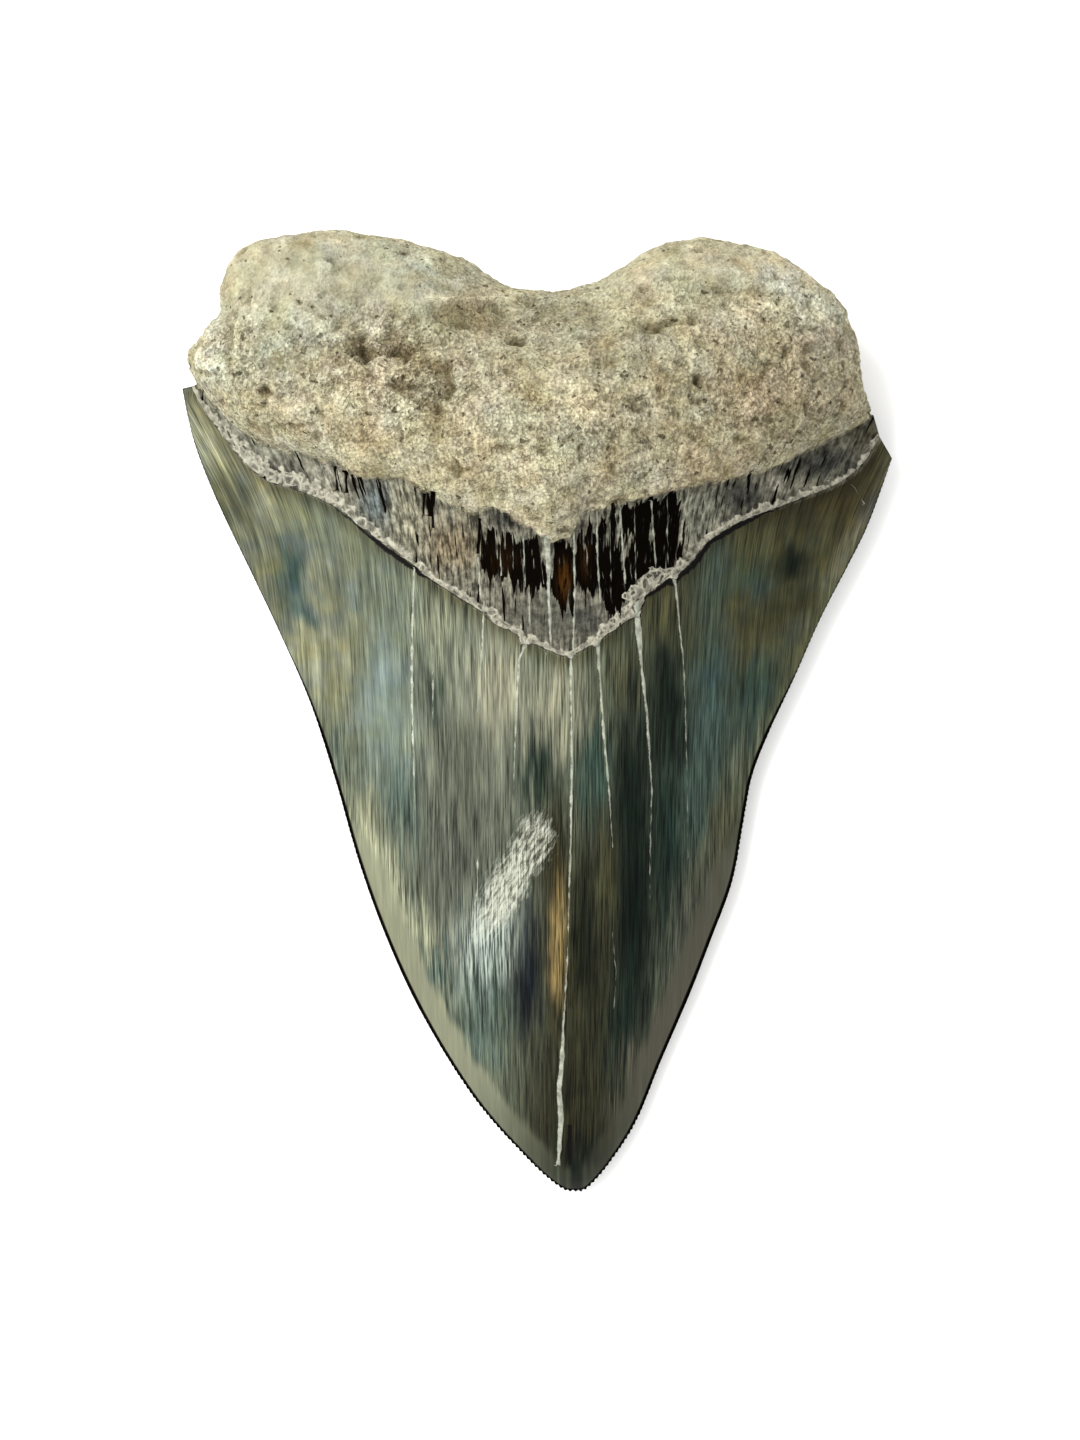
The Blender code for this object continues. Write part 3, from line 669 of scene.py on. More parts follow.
# Bands of the material: the two levels of a value, and what they are turned into if not 0 and 1
BANDS = {
    "tone of the grains": (0.36, 0.64, -0.38, 0.44),
    "tone of the clumps": (0.36, 0.64, 0.86, 1.16),
    "specks": (0.34, 0.27),
    "pores": (0.42, 0.7),
    "pores between clumps": (0.6, 0.4, 0.5, 1.0),
    "holes": (-0.285, -0.25),
    "tone of the hairs": (0.36, 0.42, 0.45, 1.0),
    "lined for hairs": (0.4, 1.0),
    "scraped": (0.86, 1.4, 0.0, 0.95),
    "edge of the scrape": (0.02, 0.2),
    "scraped between lines": (0.36, 0.54, 0.5, 1.0),
    "head of the scrape": (-23.0, -16.0, 0.01, -0.06),
    "roughness of the enamel": (0.35, 0.65, 0.34, 0.5),
    "tone of the slits": (0.4, 0.6, -0.65, 0.45),
    "tone of the crumbs": (0.36, 0.64, 0.55, 1.3),
    "glow": (0.4, 0.56),
    "shine": (0.62, 0.7),
    "edge of the plates": (-0.6, 0.6),
    "edge of the crust": (-0.04, 0.1),
    "holes of the lace": (0.54, 0.68),
    "lace inside the crust": (0.1, 0.4),
    "tone of the crust": (0.38, 0.62, 0.5, 1.2),
    "edge of the root": (-0.1, 0.1),
    "edge of the enamel": (-0.05, 0.05),
    "groove": (0.0, 0.12),
    "edge line": (-0.08, 0.05),
    "slot": (-0.3, 0.7),
    "filled crack": (0.0, 1.0, 0.0, 0.9),
    "tone of the filling": (0.35, 0.65, 0.55, 1.2),
}
# Tints of the drifts of the stone and of the lines of the enamel, and tones of the scraped enamel
# with its painted highlight
DRIFT_TINTS = ((0.35, (0.86, 0.82, 0.75)), (0.5, (1.0, 1.0, 1.0)), (0.62, (1.1, 1.1, 1.1)))
LINE_TINTS = ((0.4, (0.24, 0.28, 0.26)), (0.5, (0.96, 0.97, 0.97)), (0.61, (1.8, 1.8, 1.7)))
CHALK_TONES = ((0.32, "charcoal"), (0.4, "ash"), (0.5, "chalk"), (0.64, "white chalk"))
# Stone of the root: strength of its specks, pores and holes, and what grit adds to the holes
SPECK_STRENGTH = 0.6
PORE_STRENGTH = 0.55
HOLE_STRENGTH = 0.75
HOLES_BY_GRIT = 0.05
# Cells of the pores and of the lace of the crust: scale of their swirl, its reach in metres, and
# scale of the cells
PORE_CELLS = (900.0, 0.0004, 2400.0)
LACE_CELLS = (700.0, 0.0006, 900.0)
# Heights of the material's grains in metres
GRAIN_HEIGHT = 0.0003
CLUMP_HEIGHT = 0.0006
PORE_HEIGHT = -0.00014
LINE_HEIGHT = 0.00007
SLIT_HEIGHT = 0.0002
CRUMB_HEIGHT = 0.0003
# Lines of the enamel: shares of the fine and the broad ones, and the middle of a grain
FINE_SHARE = 0.55
BROAD_SHARE = 0.45
GRAIN_MIDDLE = 0.5
# Scraped enamel, its worn pale colour with a painted highlight over it: spots of its head and
# tail, as stains without their tone and strength, turn and size of its scratches, their share in
# its edge, and the lines' share in its tone
SCRAPES = ((532, 844, 19, 28, -0.15), (507, 886, 21, 50, -0.44))
SCRAPE_TURN = -0.46
SCRATCH_SIZE = (0.4, 1.6, 1.0)
SCRATCH_SHARE = 1.3
CHALK_BY_LINES = 0.45
# Neck: tone between its slits, length of the plates' spires in pixels, where its crust starts in
# mm, and shares of the crumbs in the crust and in the holes of its lace, and the holes' strength
NECK_TONE = 0.9
SPIRE_LENGTH = 60.0
CRUST_START = 0.35
CRUST_BY_CRUMBS = 0.7
HOLES_BY_CRUMBS = 0.9
LACE_STRENGTH = 0.85
# Edges between the parts: reach of a stray by crumbs and of the root's fraying in mm, each with
# its half taken off, share of the stray in the ledge, its share in the lines in pixels, how the
# shadows widen the groove, and how much of a crack's half width stays open
STRAY = (0.8, -0.4)
FRAYING = (2.2, -1.1)
LEDGE_STRAY = 0.6
LINE_WOBBLE = 3.0
GROOVE_BY_SHADOW = 0.7
CRACK_START = 0.1
# Roughness of the neck and of the root, and the enamel's thin coat
STONE_ROUGHNESS = (0.6, 0.95)
COAT_WEIGHT = 0.12
COAT_ROUGHNESS = 0.25

# How bright the light makes a white surface that faces up
DAYLIGHT = 2.0
# Brightness of the sky: sine of the height where it falls off overhead and the two levels there,
# and the same for how far to the right
OVERHEAD_DARK = (0.86, 0.96, 1.8, 0.1)
SIDEWAYS_FALL = (-1.0, 1.0, 1.35, 0.65)
# Window: place and size in metres, and power in watts
WINDOW_PLACE = (-0.5, 0.32, 0.62)
WINDOW_SIZE = 0.5
WINDOW_POWER = 8.0
WHITE = (1.0, 1.0, 1.0, 1.0)
# Sheet of paper: size in metres, colour and roughness
FLOOR_SIZE = 4.0
PAPER = (0.93, 0.93, 0.92, 1.0)
PAPER_ROUGHNESS = 0.9
# Nearest distance that the camera sees, in metres
CLIP_START = 0.01


def ease(share):
    """A smooth rise from 0 to 1."""
    share = np.clip(share, 0.0, 1.0)
    return share * share * (3 - 2 * share)


def rise_over(value, low, high):
    """A smooth rise from 0 to 1 while a value goes from low to high."""
    return ease((value - low) / (high - low))


def mix(low, high, share):
    return low + (high - low) * share


def between(low, high, share):
    """Plan positions between two sets of them."""
    return low + (high - low) * np.asarray(share)[..., None]


def level(steps, place):
    """Values at places, on a smooth curve through a list of (place, value)."""
    places, values = np.array(steps).T
    before = np.maximum(np.arange(len(places)) - 1, 0)
    after = np.minimum(np.arange(len(places)) + 1, len(places) - 1)
    slopes = (values[after] - values[before]) / (places[after] - places[before])
    place = np.clip(place, places[0], places[-1])
    start = np.clip(np.searchsorted(places, place) - 1, 0, len(places) - 2)
    step = places[start + 1] - places[start]
    share = (place - places[start]) / step
    leave, arrive = slopes[start] * step, slopes[start + 1] * step
    bend = share * (1 - share)
    rise = mix(values[start], values[start + 1], ease(share))
    return rise + bend * ((1 - share) * leave - share * arrive)


class Path:
    """A smooth curve through knots in mm, read by the share of its length."""

    def __init__(self, knots):
        knots = [Vector(knot).to_3d() for knot in knots]
        ends = [knots[0]] + knots + [knots[-1]]
        points = [knots[0]]
        for before, start, end, after in zip(ends, ends[1:], ends[2:], ends[3:]):
            leave = start + (end - before) / 6
            arrive = end - (after - start) / 6
            points += interpolate_bezier(start, leave, arrive, end, PATH_STEPS)[1:]
        self.points = np.array(points)[:, :2]
        steps = np.linalg.norm(np.diff(self.points, axis=0), axis=1)
        self.reach = np.concatenate(((0.0,), np.cumsum(steps)))

    def at(self, share):
        """Points at these shares of the length."""
        goal = np.asarray(share) * self.reach[-1]
        return np.stack([np.interp(goal, self.reach, values) for values in self.points.T], axis=-1)

    def lowest_share(self):
        """Share of the length at the point with the smallest Y."""
        return self.reach[self.points[:, 1].argmin()] / self.reach[-1]


CUTTING = Path(CUTTING_EDGES)
TIP_SHARE = CUTTING.lowest_share()
ENAMEL_LINE = {-1: Path(ENAMEL_LINE_LEFT), 1: Path(ENAMEL_LINE_RIGHT)}
ROOT_LINE = {-1: Path(ROOT_LINE_LEFT), 1: Path(ROOT_LINE_RIGHT)}
ROOT_SIDE = {-1: Path(ROOT_SIDE_LEFT), 1: Path(ROOT_SIDE_RIGHT)}
BASAL_EDGE = {-1: Path(BASAL_EDGE_LEFT), 1: Path(BASAL_EDGE_RIGHT)}


def cutting_edge(side, share):
    """Points on one cutting edge, from the tip at 0 to its shoulder at 1."""
    if side < 0:
        return CUTTING.at(TIP_SHARE * (1 - share))
    return CUTTING.at(TIP_SHARE + (1 - TIP_SHARE) * share)


def lip_line(side, across):
    """Lower edge of the enamel lip, which ends at the shoulder."""
    to_shoulder = cutting_edge(side, 1.0) - ENAMEL_LINE[side].at(1.0)
    end_weight = np.asarray(across ** LIP_END_POWER)[..., None]
    drop = np.array((0.0, LIP_WIDTH))
    return ENAMEL_LINE[side].at(across) + to_shoulder * end_weight - drop * (1 - end_weight)


def patch(across, along, near, far, middle, rim):
    """Points of a four-sided patch between its near and far rows, its middle line and its rim."""
    rows = between(near(across), far(across), along)
    sides = between(middle(along), rim(along), across)
    near_ends = between(near(0.0), near(1.0), across)
    far_ends = between(far(0.0), far(1.0), across)
    return rows + sides - between(near_ends, far_ends, along)


def crown_plan(side, across, along):
    return patch(
        across,
        along,
        lambda share: cutting_edge(side, TIP_WRAP * share),
        lambda share: lip_line(side, share),
        lambda share: between(cutting_edge(side, 0.0), lip_line(side, 0.0), share),
        lambda share: cutting_edge(side, TIP_WRAP + (1 - TIP_WRAP) * share),
    )


def lip_plan(side, across, along):
    return between(lip_line(side, across), ENAMEL_LINE[side].at(across), along)


def neck_plan(side, across, along):
    return between(ENAMEL_LINE[side].at(across), ROOT_LINE[side].at(across), along)


def root_plan(side, across, along):
    return patch(
        across,
        along,
        ROOT_LINE[side].at,
        BASAL_EDGE[side].at,
        lambda share: between(ROOT_LINE[side].at(0.0), BASAL_EDGE[side].at(0.0), share),
        ROOT_SIDE[side].at,
    )


def outline_of(side):
    """(Y, X) of the outline on one side, from the tip to the top of the root."""
    cutting = cutting_edge(side, np.linspace(0, 1, EDGE_STEPS + 1))
    above = ROOT_SIDE[side].at(np.linspace(0, 1, SIDE_STEPS + 1))
    pairs = []
    for x, y in np.concatenate((cutting, above)):
        if not pairs or y > pairs[-1][0]:
            pairs.append((y, x))
    return pairs


OUTLINE = {side: outline_of(side) for side in (-1, 1)}


def offset_share(side, plan):
    """How far points lie from the tooth's middle line towards the outline, 0 to 1."""
    middle = level(MIDDLE_LINE, plan[:, 1])
    width = np.abs(level(OUTLINE[side], plan[:, 1]) - middle)
    offset = np.abs(plan[:, 0] - middle) / np.maximum(width, WELD)
    return np.where(width < WELD, 1.0, np.minimum(offset, 1.0))


def crown_top(side, plan):
    """Height of the crown's inner face, which runs on under the root."""
    edge = level(EDGE, plan[:, 1])
    power = level(SECTION_POWER, plan[:, 1])
    fall = (1 - offset_share(side, plan) ** 2) ** power
    return edge + (level(RIDGE, plan[:, 1]) - edge) * fall


def crown_under(side, plan):
    """Height of the crown's outer face over its flat rest."""
    outward = offset_share(side, plan) ** UNDER_POWER
    bow = (level(EDGE, plan[:, 1]) + FLAT_DEPTH) * outward - FLAT_DEPTH
    lift = TIP_LIFT * (1 - ease((plan[:, 1] - TIP_Y) / TIP_LIFT_REACH))
    return bow + lift * (1 - outward)


def root_edge(along):
    """Rise of the root from its lower edge, from 0 to 1."""
    inward = 1 - np.minimum(along / ROOT_EDGE_WIDTH, 1.0)
    return (1 - inward * inward) ** ROOT_EDGE_ROUND


def root_rim(along, plan):
    """Height of the rim of the root's wall."""
    return mix(level(EDGE, plan[:, 1]), ROOT_WALL, root_edge(along))


def noise_of(points, size, shift=(0.0, 0.0, 0.0)):
    """Smooth noise from -1 to 1 at points, with this size of lump along each axis in mm."""
    rows = (points / np.array(size) + np.array(shift)).tolist()
    return np.array([noise.noise(row) for row in rows])


def layered(points, layers):
    """Sum of some layers of noise."""
    return sum(share * noise_of(points, *layer) for share, *layer in layers)


def root_forms(plan):
    """Sum of the lumps and hollows of the root, in mm."""
    flat = np.column_stack((plan, np.zeros(len(plan))))
    total = layered(flat, ((LUMP_HEIGHT, LUMP_SIZE), (BUMP_HEIGHT, BUMP_SIZE, BUMP_SHIFT)))
    for x, y, across, along, height in ROOT_FORMS.values():
        distance = ((plan[:, 0] - x) / across) ** 2 + ((plan[:, 1] - y) / along) ** 2
        total += height * np.exp(-distance)
    return total


def wall_fall(across, along, power, roundness):
    """Fall towards the rim and the top edge of the root, 1 in its middle and 0 at its rim."""
    return ((1 - across ** power) * (1 - along ** power)) ** roundness


def root_top(side, across, along, plan):
    """Height of the root's inner face, with its swelling in the middle."""
    boss = np.exp(-((across / BOSS_ACROSS) ** 2) - ((along - BOSS_PLACE) / BOSS_ALONG) ** 2)
    rise = (ROOT_RISE + BOSS_HEIGHT * boss) * wall_fall(across, along, WALL_POWER, WALL_ROUND)
    inner = 1 - np.maximum(across, along) ** FORM_END_POWER
    body = ROOT_WALL + rise + root_forms(plan) * inner
    start = crown_top(side, plan) + ROOT_STEP * (1 - across ** STEP_END_POWER)
    return mix(start, body, root_edge(along))


def root_under(side, across, along, plan):
    """Height of the root's outer face over its flat rest."""
    fall = wall_fall(across, along, UNDER_WALL_POWER, UNDER_ROUND)
    body = (root_rim(along, plan) + FLAT_DEPTH) * (1 - fall) - FLAT_DEPTH
    return mix(crown_under(side, plan), body, ease(along / UNDER_BLEND))


class Skin:
    """Points of the tooth's surface, by their column and row of the grid and their face."""

    def __init__(self, column, row, inner):
        ends = np.cumsum(BAND_ROWS)
        self.row = row
        self.inner = inner > 0.5
        self.side = np.where(column < 0, -1, 1)
        self.band = np.minimum(np.searchsorted(ends, row - ON_ROW), ROOT)
        self.along = (row - ends[self.band]) / np.array(BAND_ROWS)[self.band] + 1
        on_root = self.band == ROOT
        self.along[on_root] = mix(self.along, ease(self.along), ROOT_CROWDING)[on_root]
        step = np.abs(column) / HALF_COLUMNS
        crowding = mix(*RIM_CROWDING, rise_over(row, *CROWDING_ROWS))
        self.across = np.clip(mix(step, np.sin(step * np.pi / 2), crowding), 0.0, 1.0)
        self.rim = (self.across > ON_RIM) | (row < ON_ROW) | (row > ALL_ROWS - ON_ROW)

    def points(self):
        """Where the points lie on the bare surface, in mm."""
        plan = np.empty((len(self.row), 2))
        height = np.empty(len(self.row))
        for side in (-1, 1):
            for band, draw in enumerate((crown_plan, lip_plan, neck_plan, root_plan)):
                part = (self.side == side) & (self.band == band)
                across, along = self.across[part], self.along[part]
                plan[part] = draw(side, across, along)
                height[part] = self.heights(side, band, part, across, along, plan[part])
        return np.column_stack((plan, height))

    def heights(self, side, band, part, across, along, plan):
        if band == ROOT:
            top = root_top(side, across, along, plan)
            under = root_under(side, across, along, plan)
            edge = root_rim(along, plan)
        else:
            top = crown_top(side, plan)
            under = crown_under(side, plan)
            edge = level(EDGE, plan[:, 1])
            if band == NECK:
                top -= LIP_STEP * (1 - along) * (1 - across ** STEP_END_POWER)
        face = np.where(self.inner[part], top, np.maximum(under, 0.0))
        return np.where(self.rim[part], edge, face)


def select_nothing():
    for item in bpy.context.selected_objects:
        item.select_set(False)


def edit_all(step, **settings):
    """Runs one step of editing on the whole of the active mesh."""
    bpy.ops.object.mode_set(mode="EDIT")
    bpy.ops.mesh.select_all(action="SELECT")
    step(**settings)
    bpy.ops.object.mode_set(mode="OBJECT")


def grid_sheet(name, columns, rows, inner):
    """A flat grid whose points know their column and row of the inner face's grid."""
    select_nothing()
    bpy.ops.mesh.primitive_grid_add(x_subdivisions=columns, y_subdivisions=rows, size=2.0)
    sheet = bpy.context.object
    sheet.name = name
    if not inner:
        cut_edges(sheet, np.abs(positions(sheet.data)).max(axis=1) > ON_RIM, 1)
        edit_all(bpy.ops.mesh.flip_normals)
    flat = positions(sheet.data)
    write(sheet.data, "column", "FLOAT", flat[:, 0] * HALF_COLUMNS)
    write(sheet.data, "row", "FLOAT", (flat[:, 1] + 1) / 2 * ALL_ROWS)
    write(sheet.data, "inner", "FLOAT", np.full(len(flat), float(inner)))
    place(sheet.data, skin_of(sheet.data).points())
    return sheet


def gathered(items, field, width):
    """One row of values for each item."""
    values = np.empty(len(items) * width)
    items.foreach_get(field, values)
    return values.reshape(-1, width)


def cut_edges(item, chosen, cuts):
    """Puts new points on the edges that join two chosen points on the border of a sheet."""
    bpy.context.tool_settings.mesh_select_mode = (False, True, False)
    bpy.ops.object.mode_set(mode="EDIT")
    bpy.ops.mesh.select_all(action="DESELECT")
    bpy.ops.object.mode_set(mode="OBJECT")
    ends = np.empty(len(item.data.edges) * 2, dtype=int)
    item.data.edges.foreach_get("vertices", ends)
    item.data.edges.foreach_set("select", chosen[ends.reshape(-1, 2)].all(axis=1))
    bpy.ops.object.mode_set(mode="EDIT")
    bpy.ops.mesh.subdivide(number_cuts=cuts, ngon=False)
    bpy.ops.object.mode_set(mode="OBJECT")


def positions(mesh):
    return gathered(mesh.vertices, "co", 3)


def place(mesh, points):
    """Moves every point of a mesh to its place in mm."""
    mesh.vertices.foreach_set("co", (points * MM).ravel())
    mesh.update()


def normals_of(mesh):
    return gathered(mesh.vertex_normals, "vector", 3)


ATTRIBUTE_FIELD = {"FLOAT": "value", "FLOAT_VECTOR": "vector", "FLOAT_COLOR": "color"}


def write(mesh, name, kind, values):
    """Stores one value, vector or colour for each point of a mesh."""
    attribute = mesh.attributes.get(name) or mesh.attributes.new(name, kind, "POINT")
    attribute.data.foreach_set(ATTRIBUTE_FIELD[kind], np.asarray(values, dtype=np.float32).ravel())


def read(mesh, name):
    return gathered(mesh.attributes[name].data, "value", 1)[:, 0]


def skin_of(mesh):
    return Skin(read(mesh, "column"), read(mesh, "row"), read(mesh, "inner"))


def welded_sheets():
    """Both faces of the tooth joined along the rim, with extra points along the cutting edges."""
    outer = grid_sheet("outer_face", HALF_COLUMNS, ALL_ROWS // 2, False)
    inner = grid_sheet("shark_tooth", 2 * HALF_COLUMNS, ALL_ROWS, True)
    outer.select_set(True)
    bpy.ops.object.join()
    edit_all(bpy.ops.mesh.remove_doubles, threshold=SEAM_WELD * MM)
    skin = skin_of(inner.data)
    corner = (skin.across > ON_RIM) & (skin.row < ON_ROW)
    cut_edges(inner, skin.rim & (skin.band == CROWN) & ~corner, SAW_CUTS)
    edit_all(bpy.ops.mesh.quads_convert_to_tris, quad_method="BEAUTY", ngon_method="BEAUTY")
    bpy.ops.object.shade_smooth()
    return inner


def on_view(points):
    """Pixels across and down the view at which points in mm are seen."""
    scale = (CAMERA_HEIGHT - SCALE_HEIGHT) / (CAMERA_HEIGHT - points[:, 2]) / MM_PER_PIXEL
    across = FRAME_WIDTH / 2 + (points[:, 0] - CAMERA_PLACE[0]) * scale
    down = FRAME_HEIGHT / 2 - (points[:, 1] - CAMERA_PLACE[1]) * scale
    return across, down


def gap_to(paths, plan):
    """Distance in mm from each plan position to the nearest point of some paths."""
    spots = np.concatenate([path.at(np.linspace(0, 1, GAP_STEPS)) for path in paths])
    tree = KDTree(len(spots))
    for index, spot in enumerate(spots):
        tree.insert((*spot, 0.0), index)
    tree.balance()
    return np.array([tree.find((x, y, 0.0))[2] for x, y in plan.tolist()])


def nearest_line(lines, across, down):
    """Offset from the nearest of some upright lines and its half width there, in pixels."""
    offset = np.full(len(across), CRACK_REACH)
    half_width = np.full(len(across), -1.0)
    for knots in lines.values():
        places, depths, widths = np.array(knots).T
        away = across - np.interp(down, depths, places)
        here = (down >= depths[0]) & (down <= depths[-1]) & (np.abs(away) < CRACK_REACH)
        closer = here & (np.abs(away) < np.abs(offset))
        offset[closer] = away[closer]
        faded = np.interp(down, depths, widths) - np.maximum(np.abs(away) - LINE_HOLD, 0.0)
        half_width[closer] = faded[closer]
    return offset, half_width


def plate_depth(across, down):
    """How far inside the dark plates points lie, in pixels, negative outside."""
    tops, bottoms = np.array(PLATE_TOPS).T, np.array(PLATE_BOTTOMS).T
    inside = np.minimum(down - np.interp(across, *tops), np.interp(across, *bottoms) - down)
    ends = np.minimum(across - tops[0][0], tops[0][-1] - across)
    return np.clip(np.minimum(inside, ends), -CRACK_REACH, CRACK_REACH)


def bell(distance, width):
    """A smooth hump, 1 at its middle."""
    return np.exp(-((distance / width) ** 2))


class Surface:
    """What the work on each point of the tooth needs to know about it. Gaps and depths are in mm
    on the tooth, and crack, slot and plate values in pixels of the view."""

    def __init__(self, skin, points, normals):
        self.skin, self.points, self.normals = skin, points, normals
        self.across, self.down = on_view(points)
        self.lines = np.column_stack((
            (points[:, 0] - LINES_MIDDLE) / level(LINES_FAN, points[:, 1]),
            points[:, 1],
            np.zeros(len(points)),
        ))
        self.measure_parts(points[:, :2] - PLAN_SHIFT)
        self.shadow = np.interp(self.across, *np.array(LEDGE_SHADOWS).T)
        self.crack, self.crack_width = nearest_line(CRACKS, self.across, self.down)
        self.crack_width += self.drawn("width of the cracks")
        self.slot, self.slot_width = nearest_line(SLOTS, self.across, self.down)
        self.plate = plate_depth(self.across, self.down + self.drawn("ends of the plates"))
        for values in (self.crust, self.crack_width, self.slot_width, self.plate, self.shadow):
            values[~skin.inner] = -CRACK_REACH
        self.grit = COMMON_GRIT + self.sum_of(ROOT_GRIT)
        self.cloudy = np.clip(self.sum_of(ENAMEL_CLOUDS), 0.0, 1.0)
        smooth = MARGIN - self.edge - MARGIN_START * (1 - rise_over(self.down, *MARGIN_BEGINS))
        in_margin = rise_over(smooth, *MARGIN_SOFTNESS)
        self.lined = mix(1.0, MARGIN_LINES, in_margin) * (1 + self.sum_of(LINES_STRENGTH))
        self.drift, self.wander = self.rough("stains across"), self.rough("stains down")
        self.streaks = self.drawn("ends of the stains")

    def measure_parts(self, plan):
        """How far inside the root, the enamel and the crust points lie, all with ragged edges."""
        band, inner = self.skin.band, self.skin.inner
        ragged = self.drawn("edge of the root") + self.rough("edge of the root")
        self.root = gap_to(ROOT_LINE.values(), plan) * np.where(band == ROOT, 1, -1)
        self.root += np.where(inner, ragged, 0.0)
        enamel_gap = gap_to(ENAMEL_LINE.values(), plan) * np.where(band >= NECK, -1, 1)
        enamel_gap += self.rough("edge of the enamel")
        enamel_gap -= self.sum_of(CRUST_DRIPS)
        self.enamel = np.where(inner, enamel_gap, -self.root)
        self.edge = gap_to([CUTTING], plan)
        width = np.interp(self.across, *np.array(CRUST_WIDTHS).T) * MM_PER_PIXEL
        self.crust = np.minimum(width + self.enamel, -self.enamel)
        self.crust += width * self.rough("width of the crust")

    def rough(self, name):
        """A noise on the surface itself."""
        return layered(self.points, ROUGHNESS[name])

    def drawn(self, name):
        """A noise drawn out along the lines of the enamel."""
        return layered(self.lines, STREAKS[name])

    def tints(self, *names):
        """How some noises tint each point, as powers of e for red, green and blue."""
        return sum(np.outer(self.rough(name), TINTS[name]) for name in names)

    def strayed(self, across, down):
        """The same surface, seen shifted on the view by some pixels."""
        moved = copy(self)
        moved.across, moved.down = self.across + across, self.down + down
        return moved

    def spot(self, x, y, reach_across, reach_down, lean=0.0, power=SPOT_FIRMNESS):
        """An oval on the view, 1 in its middle, with a firmer edge for a higher power."""
        away = (self.across - x - lean * (self.down - y)) / reach_across
        return np.exp(-((away ** 2 + ((self.down - y) / reach_down) ** 2) ** power))

    def sum_of(self, spots):
        """Sum of some spots, each a spot with its strength at its end."""
        return sum(strength * self.spot(*spot) for *spot, strength in spots.values())


def share_of(depth, width=0.3):
    """Share of a part from how far inside it points lie, changing over this width at its edge."""
    return ease(depth / width + 0.5)


def root_relief(surface):
    """Height in mm of the lumps, grains, crevices, pits and marks of the root."""
    height = (COMMON_LUMPS + surface.sum_of(ROOT_LUMPS)) * surface.rough("lumps")
    height += surface.grit * surface.rough("grains")
    crevices = rise_over(np.abs(surface.rough("crevices")), *CREVICE_LEVELS)
    height -= CREVICE_DEPTH * crevices * surface.spot(*HOLLOW_CREVICES)
    pits = surface.rough("pits") + PITS_BY_GRIT * (surface.grit - COMMON_GRIT)
    height -= PIT_DEPTH * rise_over(pits, *PIT_LEVELS)
    strayed = surface.strayed(surface.rough("marks across"), surface.rough("marks down"))
    for *oval, rise in ROOT_MARKS.values():
        mark = strayed.spot(*oval, 0.0, MARK_FIRMNESS)
        height += MARK_RAISE * rise * mark * surface.skin.inner
    return height


def neck_relief(surface):
    """Height in mm of the neck's crust, plates and ribs."""
    height = CRUST_HEIGHT * share_of(surface.crust) + surface.rough("crumbs of the neck")
    height -= PLATE_DEPTH * share_of(surface.plate, PLATE_EDGE)
    return height + surface.drawn("ribs of the neck")


def scraped(surface):
    """How much each point of the enamel is scraped."""
    return np.maximum(*(surface.spot(*spot) for spot in SCRAPES)) * surface.skin.inner


def enamel_relief(surface):
    """Height in mm of the enamel's waves, with the groove at its upper edge and its scrape."""
    groove = bell(surface.enamel - GROOVE_WIDTH, GROOVE_WIDTH)
    groove *= GROOVE_DEPTH * np.clip(surface.shadow, 0.0, 1.0)
    return surface.drawn("waves of the enamel") - groove - SCRAPE_DEPTH * scraped(surface)


def relief(surface):
    """Height in mm of the worked surface over the bare one."""
    skin = surface.skin
    root, enamel = share_of(surface.root), share_of(surface.enamel)
    neck = np.clip(1 - root - enamel, 0.0, 1.0)
    height = root * root_relief(surface) + neck * neck_relief(surface) * skin.inner
    height += enamel * enamel_relief(surface)
    height -= SLOT_DEPTH * share_of(surface.slot_width - np.abs(surface.slot), SLOT_EDGE)
    return np.where(skin.rim & (skin.band != ROOT), -saw_teeth(skin, surface.down), height)


def saw_share(down):
    """How far the saw teeth have begun, by how far down the view a point lies."""
    return rise_over(down, *SAW_BEGINS)


def saw_teeth(skin, down):
    """Depth in mm of the notches between the saw teeth, for points along the cutting edges."""
    share = np.where(skin.row < ON_ROW, TIP_WRAP * skin.across, mix(TIP_WRAP, 1.0, skin.along))
    length = CUTTING.reach[-1] * np.where(skin.side < 0, TIP_SHARE, 1 - TIP_SHARE)
    turn = share * length / SAW_PITCH * 2 * np.pi
    depth = SAW_DEPTH * mix(SAW_START, 1.0, saw_share(down))
    return (skin.rim & (skin.band == CROWN)) * depth * (0.5 - 0.5 * np.cos(turn))


def linear(tone):
    """Paint of a tone: its daylight look turned to linear values and freed of the light."""
    share = np.array(TONES[tone]) / 255
    return np.where(share > 0.04045, ((share + 0.055) / 1.055) ** 2.4, share / 12.92) / DAYLIGHT


def spread(surface, stains, ground, strays):
    """A ground tone with soft stains over it, whose edges stray by the pixels given."""
    across, down, along_lines = strays
    strayed = surface.strayed(
        surface.drift * across, surface.wander * down + surface.streaks * along_lines
    )
    colour = np.tile(linear(ground), (len(surface.down), 1))
    for tone, *spot, strength in stains.values():
        colour = mix(colour, linear(tone), (strength * strayed.spot(*spot))[:, None])
    return colour


